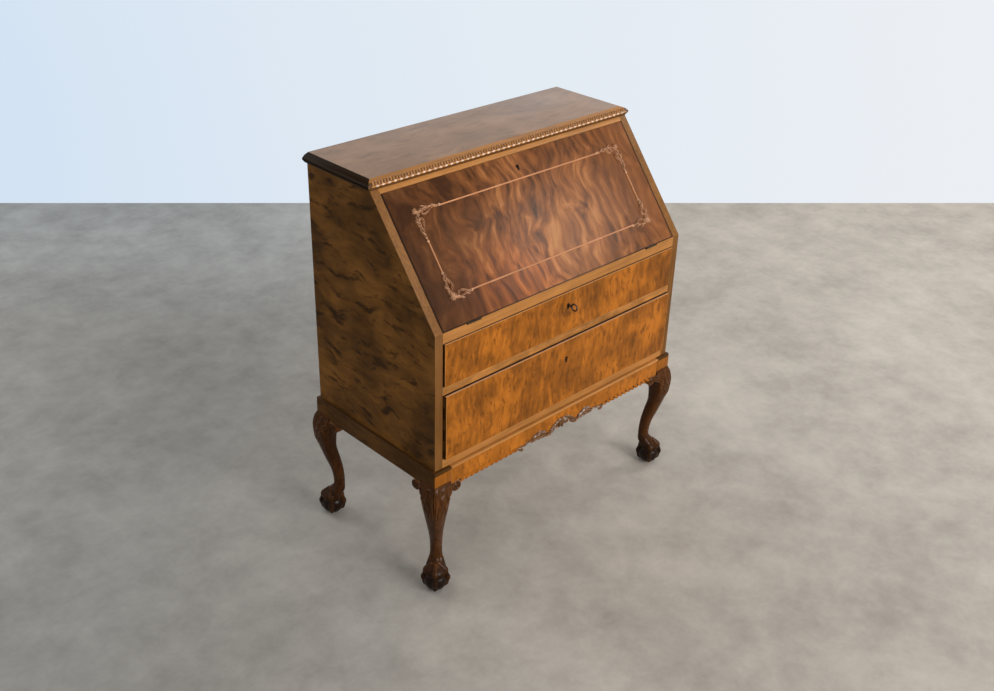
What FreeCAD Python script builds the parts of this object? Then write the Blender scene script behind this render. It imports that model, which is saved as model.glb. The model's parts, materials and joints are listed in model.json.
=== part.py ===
import FreeCAD, Part
import math
import os
import re

import Sketcher
from FreeCAD import Placement, Rotation, Vector

# Escritoire on a cabriole stand: slant fall, two long drawers, fitted inside.
# X runs across, -Y is the front, Z is up, the floor is Z = 0; millimetres.

SIZES = {
    # case
    "case_width": 900,
    "case_depth": 470,
    "case_top": 1047,
    "top_depth": 243.5,
    "side_thickness": 24,
    "back_thickness": 8,
    "back_rebate": 8,
    "writing_thickness": 28,
    "upper_drawer_height": 119,
    "middle_rail_height": 21,
    "lower_drawer_height": 185,
    "bottom_thickness": 25,
    "rail_depth": 60,
    "runner_width": 30,
    "top_rail_face": 12.6,
    "top_rail_depth": 40,
    # top board with its sloped and returned edge
    "top_thickness": 24,
    "top_slope_width": 18.5,
    "top_slope_height": 11,
    "nosing_height": 4.5,
    "nosing_side": 7.5,
    "nosing_front": 4.5,
    "top_behind": 9,
    # stand
    "stand_height": 382,
    "stand_overhang": 8,
    "post_width": 54,
    "post_height": 46,
    "apron_height": 52,
    "apron_thickness": 22,
    "arch_half_width": 45,
    "arch_rise": 23,
    "apron_bead": 3.5,
    "tenon_length": 20,
    "tenon_thickness": 10,
    "tenon_shoulder": 8,
    "gadroon_start": 164,
    "gadroon_height": 10,
    "gadroon_pitch": 27,
    "gadroon_bulge": 5,
    "gadroon_gap": 1,
    "ear_reach": 33,
    "ear_drop": 30,
    "ear_block": 21,
    "block_leg": 64,
    "block_height": 37,
    "screw_radius": 2.5,
    "screw_length": 50,
    # carving at the middle of the front apron: shell, curl and drop on each side, bud between
    "shell_at": 93,
    "shell_wide": 32,
    "shell_tall": 14,
    "shell_deep": 7,
    "curl_at": 42,
    "curl_wide": 17,
    "curl_tall": 12,
    "curl_deep": 6,
    "drop_at": 145,
    "drop_wide": 19,
    "drop_tall": 9,
    "drop_deep": 5,
    "bud_wide": 9,
    "bud_tall": 14,
    "bud_deep": 6,
    # cabriole leg and claw foot, the foot set in along the corner diagonal
    "leg_embed": 4,
    "foot_inset": 29.3,
    "ball_radius": 31,
    "toe_radius": 8,
    # fall
    "fall_thickness": 20,
    "fall_gap": 1,
    "fall_seat": 0.5,
    "stop_lip": 10,
    "frame_bead": 3.2,
    "frame_side_margin": 69,
    "frame_low": 71.5,
    "frame_top_margin": 65,
    "carving_high": 74,
    "carving_low": 60,
    "carving_high_share": 0.343,
    "carving_low_share": 0.278,
    "carving_radius": 8,
    "boss_radius": 11.2,
    # butt hinges of the fall
    "hinge_inset": 97,
    "hinge_length": 45,
    "hinge_radius": 3,
    "hinge_leaf": 20,
    "leaf_thickness": 1.5,
    "hinge_pin": 1.4,
    "pin_clearance": 0.05,
    "turn_clearance": 0.4,
    # folding stays
    "stay_drop": 30,
    "stay_setback": 6,
    "stay_trail": 6,
    "stay_width": 12,
    "stay_thickness": 3,
    "stay_clear": 3.3,
    "stay_gap": 2.5,
    "stay_pivot": 3,
    "rivet_radius": 4.8,
    "stay_plate": 13.2,
    # drawers
    "front_thickness": 20,
    "front_side_gap": 4,
    "front_gap": 1.5,
    "upper_proud": 4,
    "lower_proud": 9,
    "drawer_side": 12,
    "drawer_back_room": 22,
    "drawer_lift": 0.3,
    "dovetail_length": 14,
    "bottom_sheet": 5,
    "bottom_rise": 10,
    "groove_depth": 5,
    "stop_height": 6,
    "stop_depth": 12,
    "stop_width": 43,
    "stop_inset": 85,
    # locks and key
    "lock_half_width": 27,
    "lock_depth": 12,
    "lock_below_key": 17,
    "lock_plate": 1.5,
    "bolt_half_width": 12,
    "bolt_thickness": 4,
    "bolt_length": 22,
    "bolt_throw": 8,
    "bolt_slip": 0.3,
    "slot_clearance": 1,
    "upper_key_drop": 37,
    "lower_key_drop": 52,
    "fall_key_drop": 33,
    "keyhole_radius": 3.2,
    "keyhole_drop": 9.6,
    "rim_width": 1.9,
    "rim_height": 0.9,
    "key_stem": 2.6,
    "key_reach": 21,
    "key_ring": 9,
    "key_wire": 2,
    # pigeonholes and small drawers inside
    "gallery_setback": 8.5,
    "gallery_board": 8,
    "small_row": 66,
    "small_width": 200,
    "small_gap": 1,
    "small_front": 12,
    "small_wall": 6,
    "knob_radius": 6,
    "knob_reach": 9.6,
}

RULES = {
    "front": "-case_depth / 2",
    "back": "case_depth / 2",
    "half_width": "case_width / 2",
    "side_inner": "case_width / 2 - side_thickness",
    "back_face": "back - back_thickness",
    "bottom_top": "stand_height + bottom_thickness",
    "middle_rail_base": "bottom_top + lower_drawer_height",
    "rail_top": "middle_rail_base + middle_rail_height",
    "writing_base": "rail_top + upper_drawer_height",
    "slope_foot": "writing_base + writing_thickness",
    "slope_run": "case_depth - top_depth",
    "slope_rise": "case_top - slope_foot",
    "slope_length": "sqrt(slope_run ^ 2 + slope_rise ^ 2)",
    "slope_cos": "slope_run / slope_length",
    "slope_sin": "slope_rise / slope_length",
    "slope_top": "front + slope_run",
    "top_rail_back": "slope_top + top_rail_depth",
    "fall_top": "slope_length - top_rail_face - fall_gap",
    "fall_half": "side_inner - fall_gap",
    "frame_half_width": "fall_half - frame_side_margin",
    "frame_high": "fall_top - frame_top_margin",
    "frame_tall": "frame_high - frame_low",
    "carving_high_up": "frame_tall * carving_high_share",
    "carving_low_up": "frame_tall * carving_low_share",
    "hinge_offset": "fall_half - hinge_inset",
    "stand_side": "case_width / 2 + stand_overhang",
    "stand_front": "front - stand_overhang",
    "stand_back": "back + stand_overhang",
    "post_inner": "stand_side - post_width",
    "post_base": "stand_height - post_height",
    "apron_base": "stand_height - apron_height",
    "stay_rise": "fall_thickness + stay_width / 2 + stay_clear",
    "stay_reach": "(stay_rise * (1 + slope_cos) + stay_drop) / slope_sin",
    "stay_back": "stay_reach * slope_cos + stay_rise * slope_sin + stay_setback",
    "stay_case_arm": "(stay_reach + stay_back - stay_trail) / 2",
    "stay_fall_arm": "(stay_reach + stay_back + stay_trail) / 2",
    "stay_layer": "stay_thickness + stay_gap",
    "gallery_face": "top_rail_back + gallery_setback",
    "shelf_base": "slope_foot + small_row",
    "shelf_top": "shelf_base + gallery_board",
    "front_half": "side_inner - front_side_gap",
    "box_half": "front_half - drawer_side",
    "drawer_end": "back_face - drawer_back_room",
}

# Height as a share of the way from the top of the ball to the top of the knee, then outer and
# inner reach from the post's outer corner along the diagonal and half width across it, each as a
# share of the post's width, and how full the section is between its corners.
LEG_STATIONS = (
    (1.000, -0.006, -1.413, 0.704, 0.52),
    (0.924, 0.133, -1.246, 0.685, 0.55),
    (0.853, 0.217, -1.080, 0.648, 0.58),
    (0.769, 0.207, -0.959, 0.583, 0.60),
    (0.676, 0.161, -0.931, 0.481, 0.62),
    (0.568, 0.004, -0.987, 0.380, 0.64),
    (0.442, -0.200, -1.098, 0.315, 0.66),
    (0.317, -0.394, -1.191, 0.287, 0.66),
    (0.208, -0.506, -1.228, 0.287, 0.66),
    (0.120, -0.524, -1.228, 0.315, 0.68),
    (0.058, -0.340, -1.209, 0.426, 0.70),
)
# Height and reach of the palm that closes over the ball, as a share of the ball radius.
PALM_STATIONS = ((2.02, 0.92), (1.45, 0.84))
# Reach from the middle of the foot, height and thickness, each as a share of the ball radius.
TOE_STATIONS = (
    (0.30, 2.45, 0.90),
    (0.70, 2.02, 1.15),
    (0.95, 1.45, 1.05),
    (1.00, 0.85, 0.95),
    (0.92, 0.36, 0.75),
)

# Height of the ball's middle as a share of its radius, so that it stands on a small flat.
BALL_LEVEL = 0.97
# How far out the corners of a round section stand.
ROUND_FULLNESS = math.sqrt(0.5)
FULL_TURN = 360
HALF_TURN = 180
RIGHT_ANGLE = 90
AXIS_TURN = {
    "x": Rotation(Vector(0, 1, 0), RIGHT_ANGLE),
    "y": Rotation(Vector(1, 0, 0), -RIGHT_ANGLE),
    "z": Rotation(),
}

doc = FreeCAD.newDocument("Escritoire")
sheet = doc.addObject("Spreadsheet::Sheet", "Sizes")
for row, (size_name, size_value) in enumerate(SIZES.items(), start=1):
    sheet.set(f"A{row}", size_name)
    sheet.set(f"B{row}", str(size_value))
    sheet.setAlias(f"B{row}", size_name)
doc.recompute()

pieces = []


def formula(text):
    """Spell a rule over size names as an expression on the sheet."""

    def spell(match):
        word = match.group(0)
        if word in RULES:
            return "(" + formula(RULES[word]) + ")"
        return "Sizes." + word if word in SIZES else word

    return re.sub(r"[a-z][a-z_]*", spell, text)


def value(text):
    """The number that a rule gives with the sizes now in the sheet."""
    return float(sheet.evalExpression(formula(text)))


def keep(solid):
    """Hand a finished piece in under its own label."""
    pieces.append(solid)
    return solid


def place(solid, at, frame=None, turn=None):
    """Put a primitive at a rule-driven point, or in a slanted frame."""
    if frame is None:
        solid.Placement = Placement(Vector(), turn or Rotation())
        for axis, rule in zip("xyz", at):
            solid.setExpression("Placement.Base." + axis, formula(rule))
    else:
        spot = Vector(*[value(rule) for rule in at])
        solid.Placement = frame.multiply(Placement(spot, turn or Rotation()))
    return solid


def box(name, x, y, z, frame=None):
    """A board between pairs of rules along X, Y and Z."""
    solid = doc.addObject("Part::Box", name)
    for side, (low, high) in zip(("Length", "Width", "Height"), (x, y, z)):
        solid.setExpression(side, formula(f"({high}) - ({low})"))
    return place(solid, (x[0], y[0], z[0]), frame)


def rod(name, axis, at, radius, length, frame=None, sweep=FULL_TURN):
    """A round bar along one axis; a part sweep gives a half-round bead."""
    solid = doc.addObject("Part::Cylinder", name)
    solid.setExpression("Radius", formula(radius))
    solid.setExpression("Height", formula(length))
    solid.Angle = sweep
    return place(solid, at, frame, AXIS_TURN[axis])


def taper(name, x, y, z, frame=None):
    """A block whose X and Z pairs differ between its near and far Y ends."""
    solid = doc.addObject("Part::Wedge", name)
    rules = {
        "Xmin": x[0], "Xmax": x[1], "X2min": x[2], "X2max": x[3],
        "Zmin": z[0], "Zmax": z[1], "Z2min": z[2], "Z2max": z[3],
        "Ymin": y[0], "Ymax": y[1],
    }
    for side, rule in rules.items():
        setattr(solid, side, value(rule))
    for side, rule in rules.items():
        solid.setExpression(side, formula(rule))
    if frame is not None:
        solid.Placement = frame
    return solid


def prism(name, plane, corners, length, start):
    """A sketched outline padded to a length, in a body of its own."""
    body = doc.addObject("PartDesign::Body", name)
    sketch = body.newObject("Sketcher::SketchObject", name + "_outline")
    support = next(o for o in body.Origin.OriginFeatures if o.Role == plane + "_Plane")
    sketch.AttachmentSupport = [(support, "")]
    sketch.MapMode = "FlatFace"
    spots = [Vector(value(a), value(b), 0) for a, b in corners]
    count = len(spots)
    for i in range(count):
        sketch.addGeometry(Part.LineSegment(spots[i], spots[(i + 1) % count]))
    for i in range(count):
        sketch.addConstraint(Sketcher.Constraint("Coincident", i, 2, (i + 1) % count, 1))
    for i, rules in enumerate(corners):
        for kind, rule in zip(("DistanceX", "DistanceY"), rules):
            index = sketch.addConstraint(Sketcher.Constraint(kind, -1, 1, i, 1, value(rule)))
            sketch.setExpression(f"Constraints[{index}]", formula(rule))
    pad = body.newObject("PartDesign::Pad", name + "_pad")
    pad.Profile = sketch
    pad.setExpression("Length", formula(length))
    body.Tip = pad
    axis = {"YZ": "x", "XZ": "y", "XY": "z"}[plane]
    body.setExpression("Placement.Base." + axis, formula(start))
    return body


def fuse(name, solids):
    """Several shapes glued into one solid."""
    whole = doc.addObject("Part::MultiFuse", name)
    whole.Shapes = solids
    return whole


def cut(name, base, tools):
    """A piece with sockets, grooves and holes taken out of it."""
    for number, tool in enumerate(tools, start=1):
        last = number == len(tools)
        pocket = doc.addObject("Part::Cut", name if last else f"{name}_cut_{number}")
        pocket.Base = base
        pocket.Tool = tool
        base = pocket
    return base


def group(name, solids):
    """Like pieces that share one node."""
    bundle = doc.addObject("Part::Compound", name)
    bundle.Links = solids
    return bundle


def mirror(name, source, normal=Vector(1, 0, 0)):
    """The same piece on the other side."""
    copy = doc.addObject("Part::Mirroring", name)
    copy.Source = source
    copy.Normal = normal
    return copy


def both_sides(name, right):
    """A right-hand piece and its left-hand twin in one node."""
    return group(name, [right, mirror(name + "_left", right)])


def on_slope(up, inward):
    """The Y and Z rules of a point on the slope, measured up it and in from it."""
    return (
        f"front + ({up}) * slope_cos + ({inward}) * slope_sin",
        f"slope_foot + ({up}) * slope_sin - ({inward}) * slope_cos",
    )


slope_angle = math.degrees(math.atan2(value("slope_rise"), value("slope_run")))
# In this frame X runs across the fall, Y goes in through it and Z up the slope.
FALL = Placement(
    Vector(0, value("front"), value("slope_foot")),
    Rotation(Vector(1, 0, 0), slope_angle - RIGHT_ANGLE),
)


def make_case():
    """Sides, back, writing board, rails, bottom and what the drawers run on."""
    outline = [
        ("front", "stand_height"),
        ("front", "slope_foot"),
        ("slope_top", "case_top"),
        ("back", "case_top"),
        ("back", "stand_height"),
    ]
    across = ("-side_inner", "side_inner")
    depth = ("front", "back_face")
    panel_half = "(side_inner + back_rebate)"
    back = keep(box(
        "back_panel", (f"-{panel_half}", panel_half), ("back_face", "back"), ("stand_height", "case_top")
    ))
    for label, start in (("left_side", "-half_width"), ("right_side", "side_inner")):
        blank = prism(label + "_blank", "YZ", outline, "side_thickness", start)
        keep(cut(label, blank, [back]))

    runner = box(
        "runner_right",
        ("side_inner - runner_width", "side_inner"),
        ("front + rail_depth", "back_face"),
        ("middle_rail_base", "rail_top"),
    )
    keep(both_sides("drawer_runners", runner))
    stops = []
    for level, rule in (("upper", "rail_top"), ("lower", "bottom_top")):
        stop = box(
            f"{level}_stop",
            ("side_inner - stop_inset - stop_width", "side_inner - stop_inset"),
            ("front + front_thickness", "front + front_thickness + stop_depth"),
            (rule, f"{rule} + stop_height"),
        )
        stops += [stop, mirror(f"{level}_stop_left", stop)]
    keep(group("drawer_stops", stops))
    boards = {
        "writing_board": box("writing_blank", across, depth, ("writing_base", "slope_foot")),
        "middle_rail": box(
            "middle_rail_blank", across, ("front", "front + rail_depth"), ("middle_rail_base", "rail_top")
        ),
        "bottom_board": box("bottom_blank", across, depth, ("stand_height", "bottom_top")),
    }
    return boards


def bolt_slot(name, base, proud):
    """The mortise above a drawer that its bolt shoots into, drawer in or standing proud."""
    middle = "front + front_thickness - lock_depth / 2"
    return box(
        name,
        ("-bolt_half_width - slot_clearance", "bolt_half_width + slot_clearance"),
        (f"{middle} - {proud} - bolt_thickness", f"{middle} + bolt_thickness"),
        (base, f"{base} + bolt_throw + 2 * slot_clearance"),
    )


def make_top():
    """Top board, sloped out from the flat to a nosing and back in to the case."""
    lie_flat = Placement(Vector(), Rotation(Vector(1, 0, 0), RIGHT_ANGLE))
    wide = "half_width + nosing_side"
    fore = "nosing_front - slope_top"
    aft = "-back - top_behind"
    crown = "case_top + top_thickness"
    shoulder = "case_top + top_thickness - top_slope_height"
    under = f"{shoulder} - nosing_height"
    # Share of the slope's width and height where its round turns from steep to flat.
    knee_in, knee_up = 0.35, 0.55
    layers = []

    def layer(name, low, high, low_in, high_in, low_front, high_front):
        x = (f"-({wide}) + {low_in}", f"{wide} - {low_in}", f"-({wide}) + {high_in}", f"{wide} - {high_in}")
        z = (aft, f"{fore} - {low_front}", aft, f"{fore} - {high_front}")
        layers.append(taper(name, x, (low, high), z, lie_flat))

    knee_level = f"{shoulder} + top_slope_height * {knee_up}"
    knee = f"top_slope_width * {knee_in}"
    full = "top_slope_width"
    layer("top_return", "case_top", under, "nosing_side", "0", "nosing_front", "0")
    layer("top_nosing", under, shoulder, "0", "0", "0", "0")
    layer("top_round", shoulder, knee_level, "0", knee, "0", knee)
    layer("top_slope", knee_level, crown, knee, full, knee, full)
    keep(fuse("top_board", layers))

    foot = "fall_top + fall_gap"
    inward = "fall_thickness + fall_gap / 2"
    lip = on_slope(f"{foot} - stop_lip", inward)
    corners = [
        on_slope(foot, "0"),
        ("slope_top", "case_top"),
        ("top_rail_back", "case_top"),
        ("top_rail_back", lip[1]),
        lip,
        on_slope(foot, inward),
    ]
    rail = prism("top_rail_blank", "YZ", corners, "2 * side_inner", "-side_inner")
    strike = box(
        "fall_strike",
        ("-bolt_half_width - slot_clearance", "bolt_half_width + slot_clearance"),
        ("fall_thickness - lock_depth + 2 * slot_clearance", "fall_thickness - 2 * slot_clearance"),
        ("fall_top", "fall_top + bolt_throw + 2 * slot_clearance"),
        FALL,
    )
    keep(cut("top_rail", rail, [strike]))


def make_stand():
    """Aprons tenoned into four cabriole legs, with their carving and brackets."""
    level = ("apron_base", "stand_height")
    inner = "stand_front + apron_thickness"
    middle = "apron_thickness / 2"
    tongue = ("apron_base + tenon_shoulder", "stand_height - tenon_shoulder")
    reach = "(post_inner + tenon_length)"

    front_board = box("front_apron_board", ("-post_inner", "post_inner"), ("stand_front", inner), level)
    front_tenon = box(
        "front_apron_tenon",
        (f"-{reach}", reach),
        (f"stand_front + {middle} - tenon_thickness / 2", f"stand_front + {middle} + tenon_thickness / 2"),
        tongue,
    )
    arch_radius = "((arch_half_width ^ 2 + arch_rise ^ 2) / (2 * arch_rise))"
    arch = rod(
        "apron_arch",
        "y",
        ("0", "stand_front - 1", f"apron_base + arch_rise - {arch_radius}"),
        arch_radius,
        "apron_thickness + 2",
    )
    whole_front = fuse("front_apron_whole", [front_board, front_tenon])
    front_apron = keep(cut("front_apron", whole_front, [arch]))
    back_apron = keep(mirror("back_apron", whole_front, Vector(0, 1, 0)))
    side_board = box(
        "side_apron_board",
        ("stand_side - apron_thickness", "stand_side"),
        ("stand_front + post_width", "stand_back - post_width"),
        level,
    )
    side_tenon = box(
        "side_apron_tenon",
        (f"stand_side - {middle} - tenon_thickness / 2", f"stand_side - {middle} + tenon_thickness / 2"),
        ("stand_front + post_width - tenon_length / 2", "stand_back - post_width + tenon_length / 2"),
        tongue,
    )
    right_apron = keep(fuse("right_apron", [side_board, side_tenon]))
    left_apron = keep(mirror("left_apron", right_apron))

    bead = keep(rod(
        "apron_bead",
        "x",
        ("-post_inner", "stand_front", "stand_height - apron_bead"),
        "apron_bead",
        "2 * post_inner",
        sweep=HALF_TURN,
    ))
    bead.Placement.Rotation = AXIS_TURN["x"].multiply(Rotation(Vector(0, 0, 1), HALF_TURN))
    make_gadroons()
    make_apron_carving()

    leg = fuse("leg_right_front", [make_leg_blank(), box(
        "post_right_front",
        ("post_inner", "stand_side"),
        ("stand_front", "stand_front + post_width"),
        ("stand_height - post_height", "stand_height"),
    )])
    corners = {
        "front_right": leg,
        "front_left": mirror("leg_left_front", leg),
        "back_right": mirror("leg_right_back", leg, Vector(0, 1, 0)),
    }
    corners["back_left"] = mirror("leg_left_back", corners["back_right"])
    ends = {"front": front_apron, "back": back_apron, "left": left_apron, "right": right_apron}
    for corner, solid in corners.items():
        keep(cut(corner + "_leg", solid, [ends[side] for side in corner.split("_")]))
    return make_ears(leg)


def make_gadroons():
    """The lobed strip under the front apron, from each leg in to the carving."""
    strip = box(
        "gadroon_strip",
        ("gadroon_start", "post_inner - ear_reach"),
        ("stand_front", "stand_front + apron_thickness"),
        ("apron_base - gadroon_height", "apron_base"),
    )
    lobes = [strip]
    room = value("post_inner - ear_reach - gadroon_start")
    count = int(room // value("gadroon_pitch"))
    for number in range(count):
        lobe = doc.addObject("Part::Ellipsoid", f"gadroon_lobe_{number}")
        lobe.setExpression("Radius1", formula("gadroon_height"))
        lobe.setExpression("Radius2", formula("(gadroon_pitch - gadroon_gap) / 2"))
        lobe.setExpression("Radius3", formula("gadroon_bulge"))
        spot = f"gadroon_start + gadroon_pitch * ({number} + 0.5)"
        lobes.append(place(lobe, (spot, "stand_front", "apron_base")))
    right = cut("gadroon_right", fuse("gadroon_whole", lobes), [doc.getObject("front_apron_board")])
    keep(both_sides("gadroon_edge", right))


def make_apron_carving():
    """Scroll lobes and bud of the carving at the middle of the front apron."""
    lobes = [carved_lobe("apron_bud", "bud", "0", "apron_base + arch_rise")]
    levels = {"shell": "apron_base + shell_tall / 3", "curl": "apron_base", "drop": "apron_base"}
    for kind, level in levels.items():
        right = carved_lobe(f"{kind}_right", kind, f"{kind}_at", level)
        lobes += [right, mirror(f"{kind}_left", right)]
    behind = box(
        "carving_plane",
        ("-half_width", "half_width"),
        ("stand_front", "back"),
        ("apron_base - apron_height", "stand_height"),
    )
    keep(cut("apron_carving", fuse("scroll_lobes", lobes), [behind]))


def carved_lobe(name, kind, across, level):
    """One rounded lobe standing out of the apron's face."""
    lobe = doc.addObject("Part::Ellipsoid", name)
    for radius, side in (("Radius1", "tall"), ("Radius2", "wide"), ("Radius3", "deep")):
        lobe.setExpression(radius, formula(f"{kind}_{side}"))
    return place(lobe, (across, "stand_front", level))


def diagonal_spot(out, side, level):
    """A point at the front right post, measured out along and across its diagonal."""
    corner_x, corner_y = value("stand_side"), value("stand_front")
    step = math.sqrt(0.5)
    return Vector(corner_x + (out + side) * step, corner_y - (out - side) * step, level)


def make_leg_blank():
    """Cabriole leg with a knee, a slim ankle and a claw holding a ball."""
    radius, inset, width = value("ball_radius"), value("foot_inset"), value("post_width")
    foot, knee = 2 * radius, value("post_base + leg_embed")
    sections = []
    for share, outer, inner, half, fullness in LEG_STATIONS:
        level = foot + share * (knee - foot)
        sections.append(leg_ring(level, outer * width, inner * width, half * width, fullness))
    for up, reach in PALM_STATIONS:
        spread = reach * radius
        sections.append(leg_ring(up * radius, spread - inset, -spread - inset, spread, ROUND_FULLNESS))
    shape = Part.makeLoft(sections, True, False)

    ball = Part.makeSphere(radius, diagonal_spot(-inset, 0, radius * BALL_LEVEL))
    toes = []
    for along, aside in ((1, 0), (-1, 0), (0, 1), (0, -1)):
        path = []
        for reach, up, thick in TOE_STATIONS:
            spot = diagonal_spot(along * reach * radius - inset, aside * reach * radius, up * radius)
            path.append((spot, thick * value("toe_radius")))
        rings = []
        for number, (spot, thick) in enumerate(path):
            before = path[max(number - 1, 0)][0]
            after = path[min(number + 1, len(path) - 1)][0]
            rings.append(Part.Wire([Part.makeCircle(thick, spot, after - before)]))
        toes.append(Part.makeLoft(rings, True, False))
    corner = diagonal_spot(-inset, 0, -knee) - Vector(knee / 2, knee / 2, 0)
    floor = Part.makeBox(knee, knee, knee, corner)
    leg = doc.addObject("Part::Feature", "leg_blank")
    leg.Shape = shape.multiFuse([ball] + toes).cut(floor).removeSplitter()
    return leg


def leg_ring(level, outer, inner, half, fullness):
    """The smooth outline of the leg at one height."""
    middle, reach = (outer + inner) / 2, (outer - inner) / 2
    ring = (
        (1, 0), (fullness, fullness), (0, 1), (-fullness, fullness),
        (-1, 0), (-fullness, -fullness), (0, -1), (fullness, -fullness),
    )
    curve = Part.BSplineCurve()
    curve.interpolate(
        [diagonal_spot(middle + a * reach, b * half, level) for a, b in ring], PeriodicFlag=True
    )
    return Part.Wire([curve.toShape()])


def make_ears(leg):
    """Scrolled brackets beside every knee, glue blocks in the corners and their screws."""
    scroll = "ear_drop / 2"
    middle = f"apron_base - {scroll}"
    front_ear = fuse("front_ear", [
        rod(
            "front_scroll",
            "y",
            (f"post_inner - ear_reach + {scroll}", "stand_front", middle),
            scroll,
            "apron_thickness",
        ),
        box(
            "front_ear_block",
            (f"post_inner - ear_reach + {scroll}", "post_inner"),
            ("stand_front", "stand_front + apron_thickness"),
            ("apron_base - ear_block", "apron_base"),
        ),
    ])
    side_start = "stand_front + post_width"
    side_ear = fuse("side_ear", [
        rod(
            "side_scroll",
            "x",
            ("stand_side - apron_thickness", f"{side_start} + ear_reach - {scroll}", middle),
            scroll,
            "apron_thickness",
        ),
        box(
            "side_ear_block",
            ("stand_side - apron_thickness", "stand_side"),
            (side_start, f"{side_start} + ear_reach - {scroll}"),
            ("apron_base - ear_block", "apron_base"),
        ),
    ])
    ears = [cut(f"{ear.Name}_fitted", ear, [leg]) for ear in (front_ear, side_ear)]
    keep(four_corners("knee_brackets", ears))

    near_x, near_y = "post_inner", "stand_front + post_width"
    wall_x, wall_y = "stand_side - apron_thickness", "stand_front + apron_thickness"
    corners = [
        (near_x, wall_y),
        (near_x, near_y),
        (wall_x, near_y),
        (wall_x, f"{near_y} + block_leg"),
        (f"{near_x} - block_leg", wall_y),
    ]
    block = prism("corner_block_blank", "XY", corners, "block_height", "stand_height - block_height")
    spot = ("post_inner - screw_radius * 4", "stand_front + post_width + screw_radius * 2")
    start = "stand_height - block_height"
    shank = rod("screw_shank", "z", (*spot, start), "screw_radius", "screw_length")
    head = rod("screw_head", "z", (*spot, f"{start} - screw_radius"), "2 * screw_radius", "screw_radius")
    hole = rod(
        "screw_hole", "z", (*spot, start), "screw_radius + pin_clearance", "screw_length + pin_clearance"
    )
    keep(four_corners("corner_blocks", [cut("corner_block", block, [hole])]))
    keep(four_corners("stand_screws", [fuse("screw", [shank, head])]))
    return four_corners("screw_holes", [hole])


def four_corners(name, solids):
    """Pieces of the front right corner, repeated at the other three."""
    every = []
    for solid in solids:
        back = mirror(f"{solid.Name}_back", solid, Vector(0, 1, 0))
        every += [solid, back, mirror(f"{solid.Name}_left", solid), mirror(f"{solid.Name}_back_left", back)]
    return group(name, every)


def make_hinges():
    """Two butt hinges at the front seam, their knuckles on the lower edge of the fall."""
    start, end = "hinge_offset - hinge_length / 2", "hinge_offset + hinge_length / 2"
    clear = "hinge_radius + turn_clearance"
    leaf_ends = {
        "hinge_case_leaves": ("slope_foot - leaf_thickness", "slope_foot"),
        "hinge_fall_leaves": ("slope_foot + fall_seat", "slope_foot + fall_seat + leaf_thickness"),
    }
    knuckle_count = 5
    seats = {}
    for order, (name, level) in enumerate(leaf_ends.items()):
        plate = box(name + "_plate", (start, end), (f"front + {clear}", "front + hinge_leaf"), level)
        parts = [plate]
        for number in range(order, knuckle_count, 2):
            low = f"{start} + hinge_length * {number} / {knuckle_count} + pin_clearance * 2"
            long = f"hinge_length / {knuckle_count} - pin_clearance * 4"
            spot = (low, "front", "slope_foot")
            parts.append(rod(f"{name}_knuckle_{number}", "x", spot, "hinge_radius", long))
            parts.append(box(
                f"{name}_tongue_{number}", (low, f"{low} + {long}"), ("front", f"front + {clear}"), level
            ))
        bore = rod(
            name + "_bore", "x", (start, "front", "slope_foot"), "hinge_pin + pin_clearance", "hinge_length"
        )
        leaf = cut(name + "_right", fuse(name + "_whole", parts), [bore])
        keep(both_sides(name, leaf))
        seat = box(name + "_seat", (start, end), ("front", "front + hinge_leaf"), level)
        seats[name] = [seat, mirror(name + "_seat_left", seat)]
    pin = rod("hinge_pin_right", "x", (start, "front", "slope_foot"), "hinge_pin", "hinge_length")
    keep(both_sides("hinge_pins", pin))
    room = rod(
        "hinge_room_right",
        "x",
        (f"{start} - turn_clearance", "front", "slope_foot"),
        clear,
        "hinge_length + 2 * turn_clearance",
    )
    rooms = [room, mirror("hinge_room_left", room)]
    return rooms + seats["hinge_case_leaves"], rooms + seats["hinge_fall_leaves"]


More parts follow.
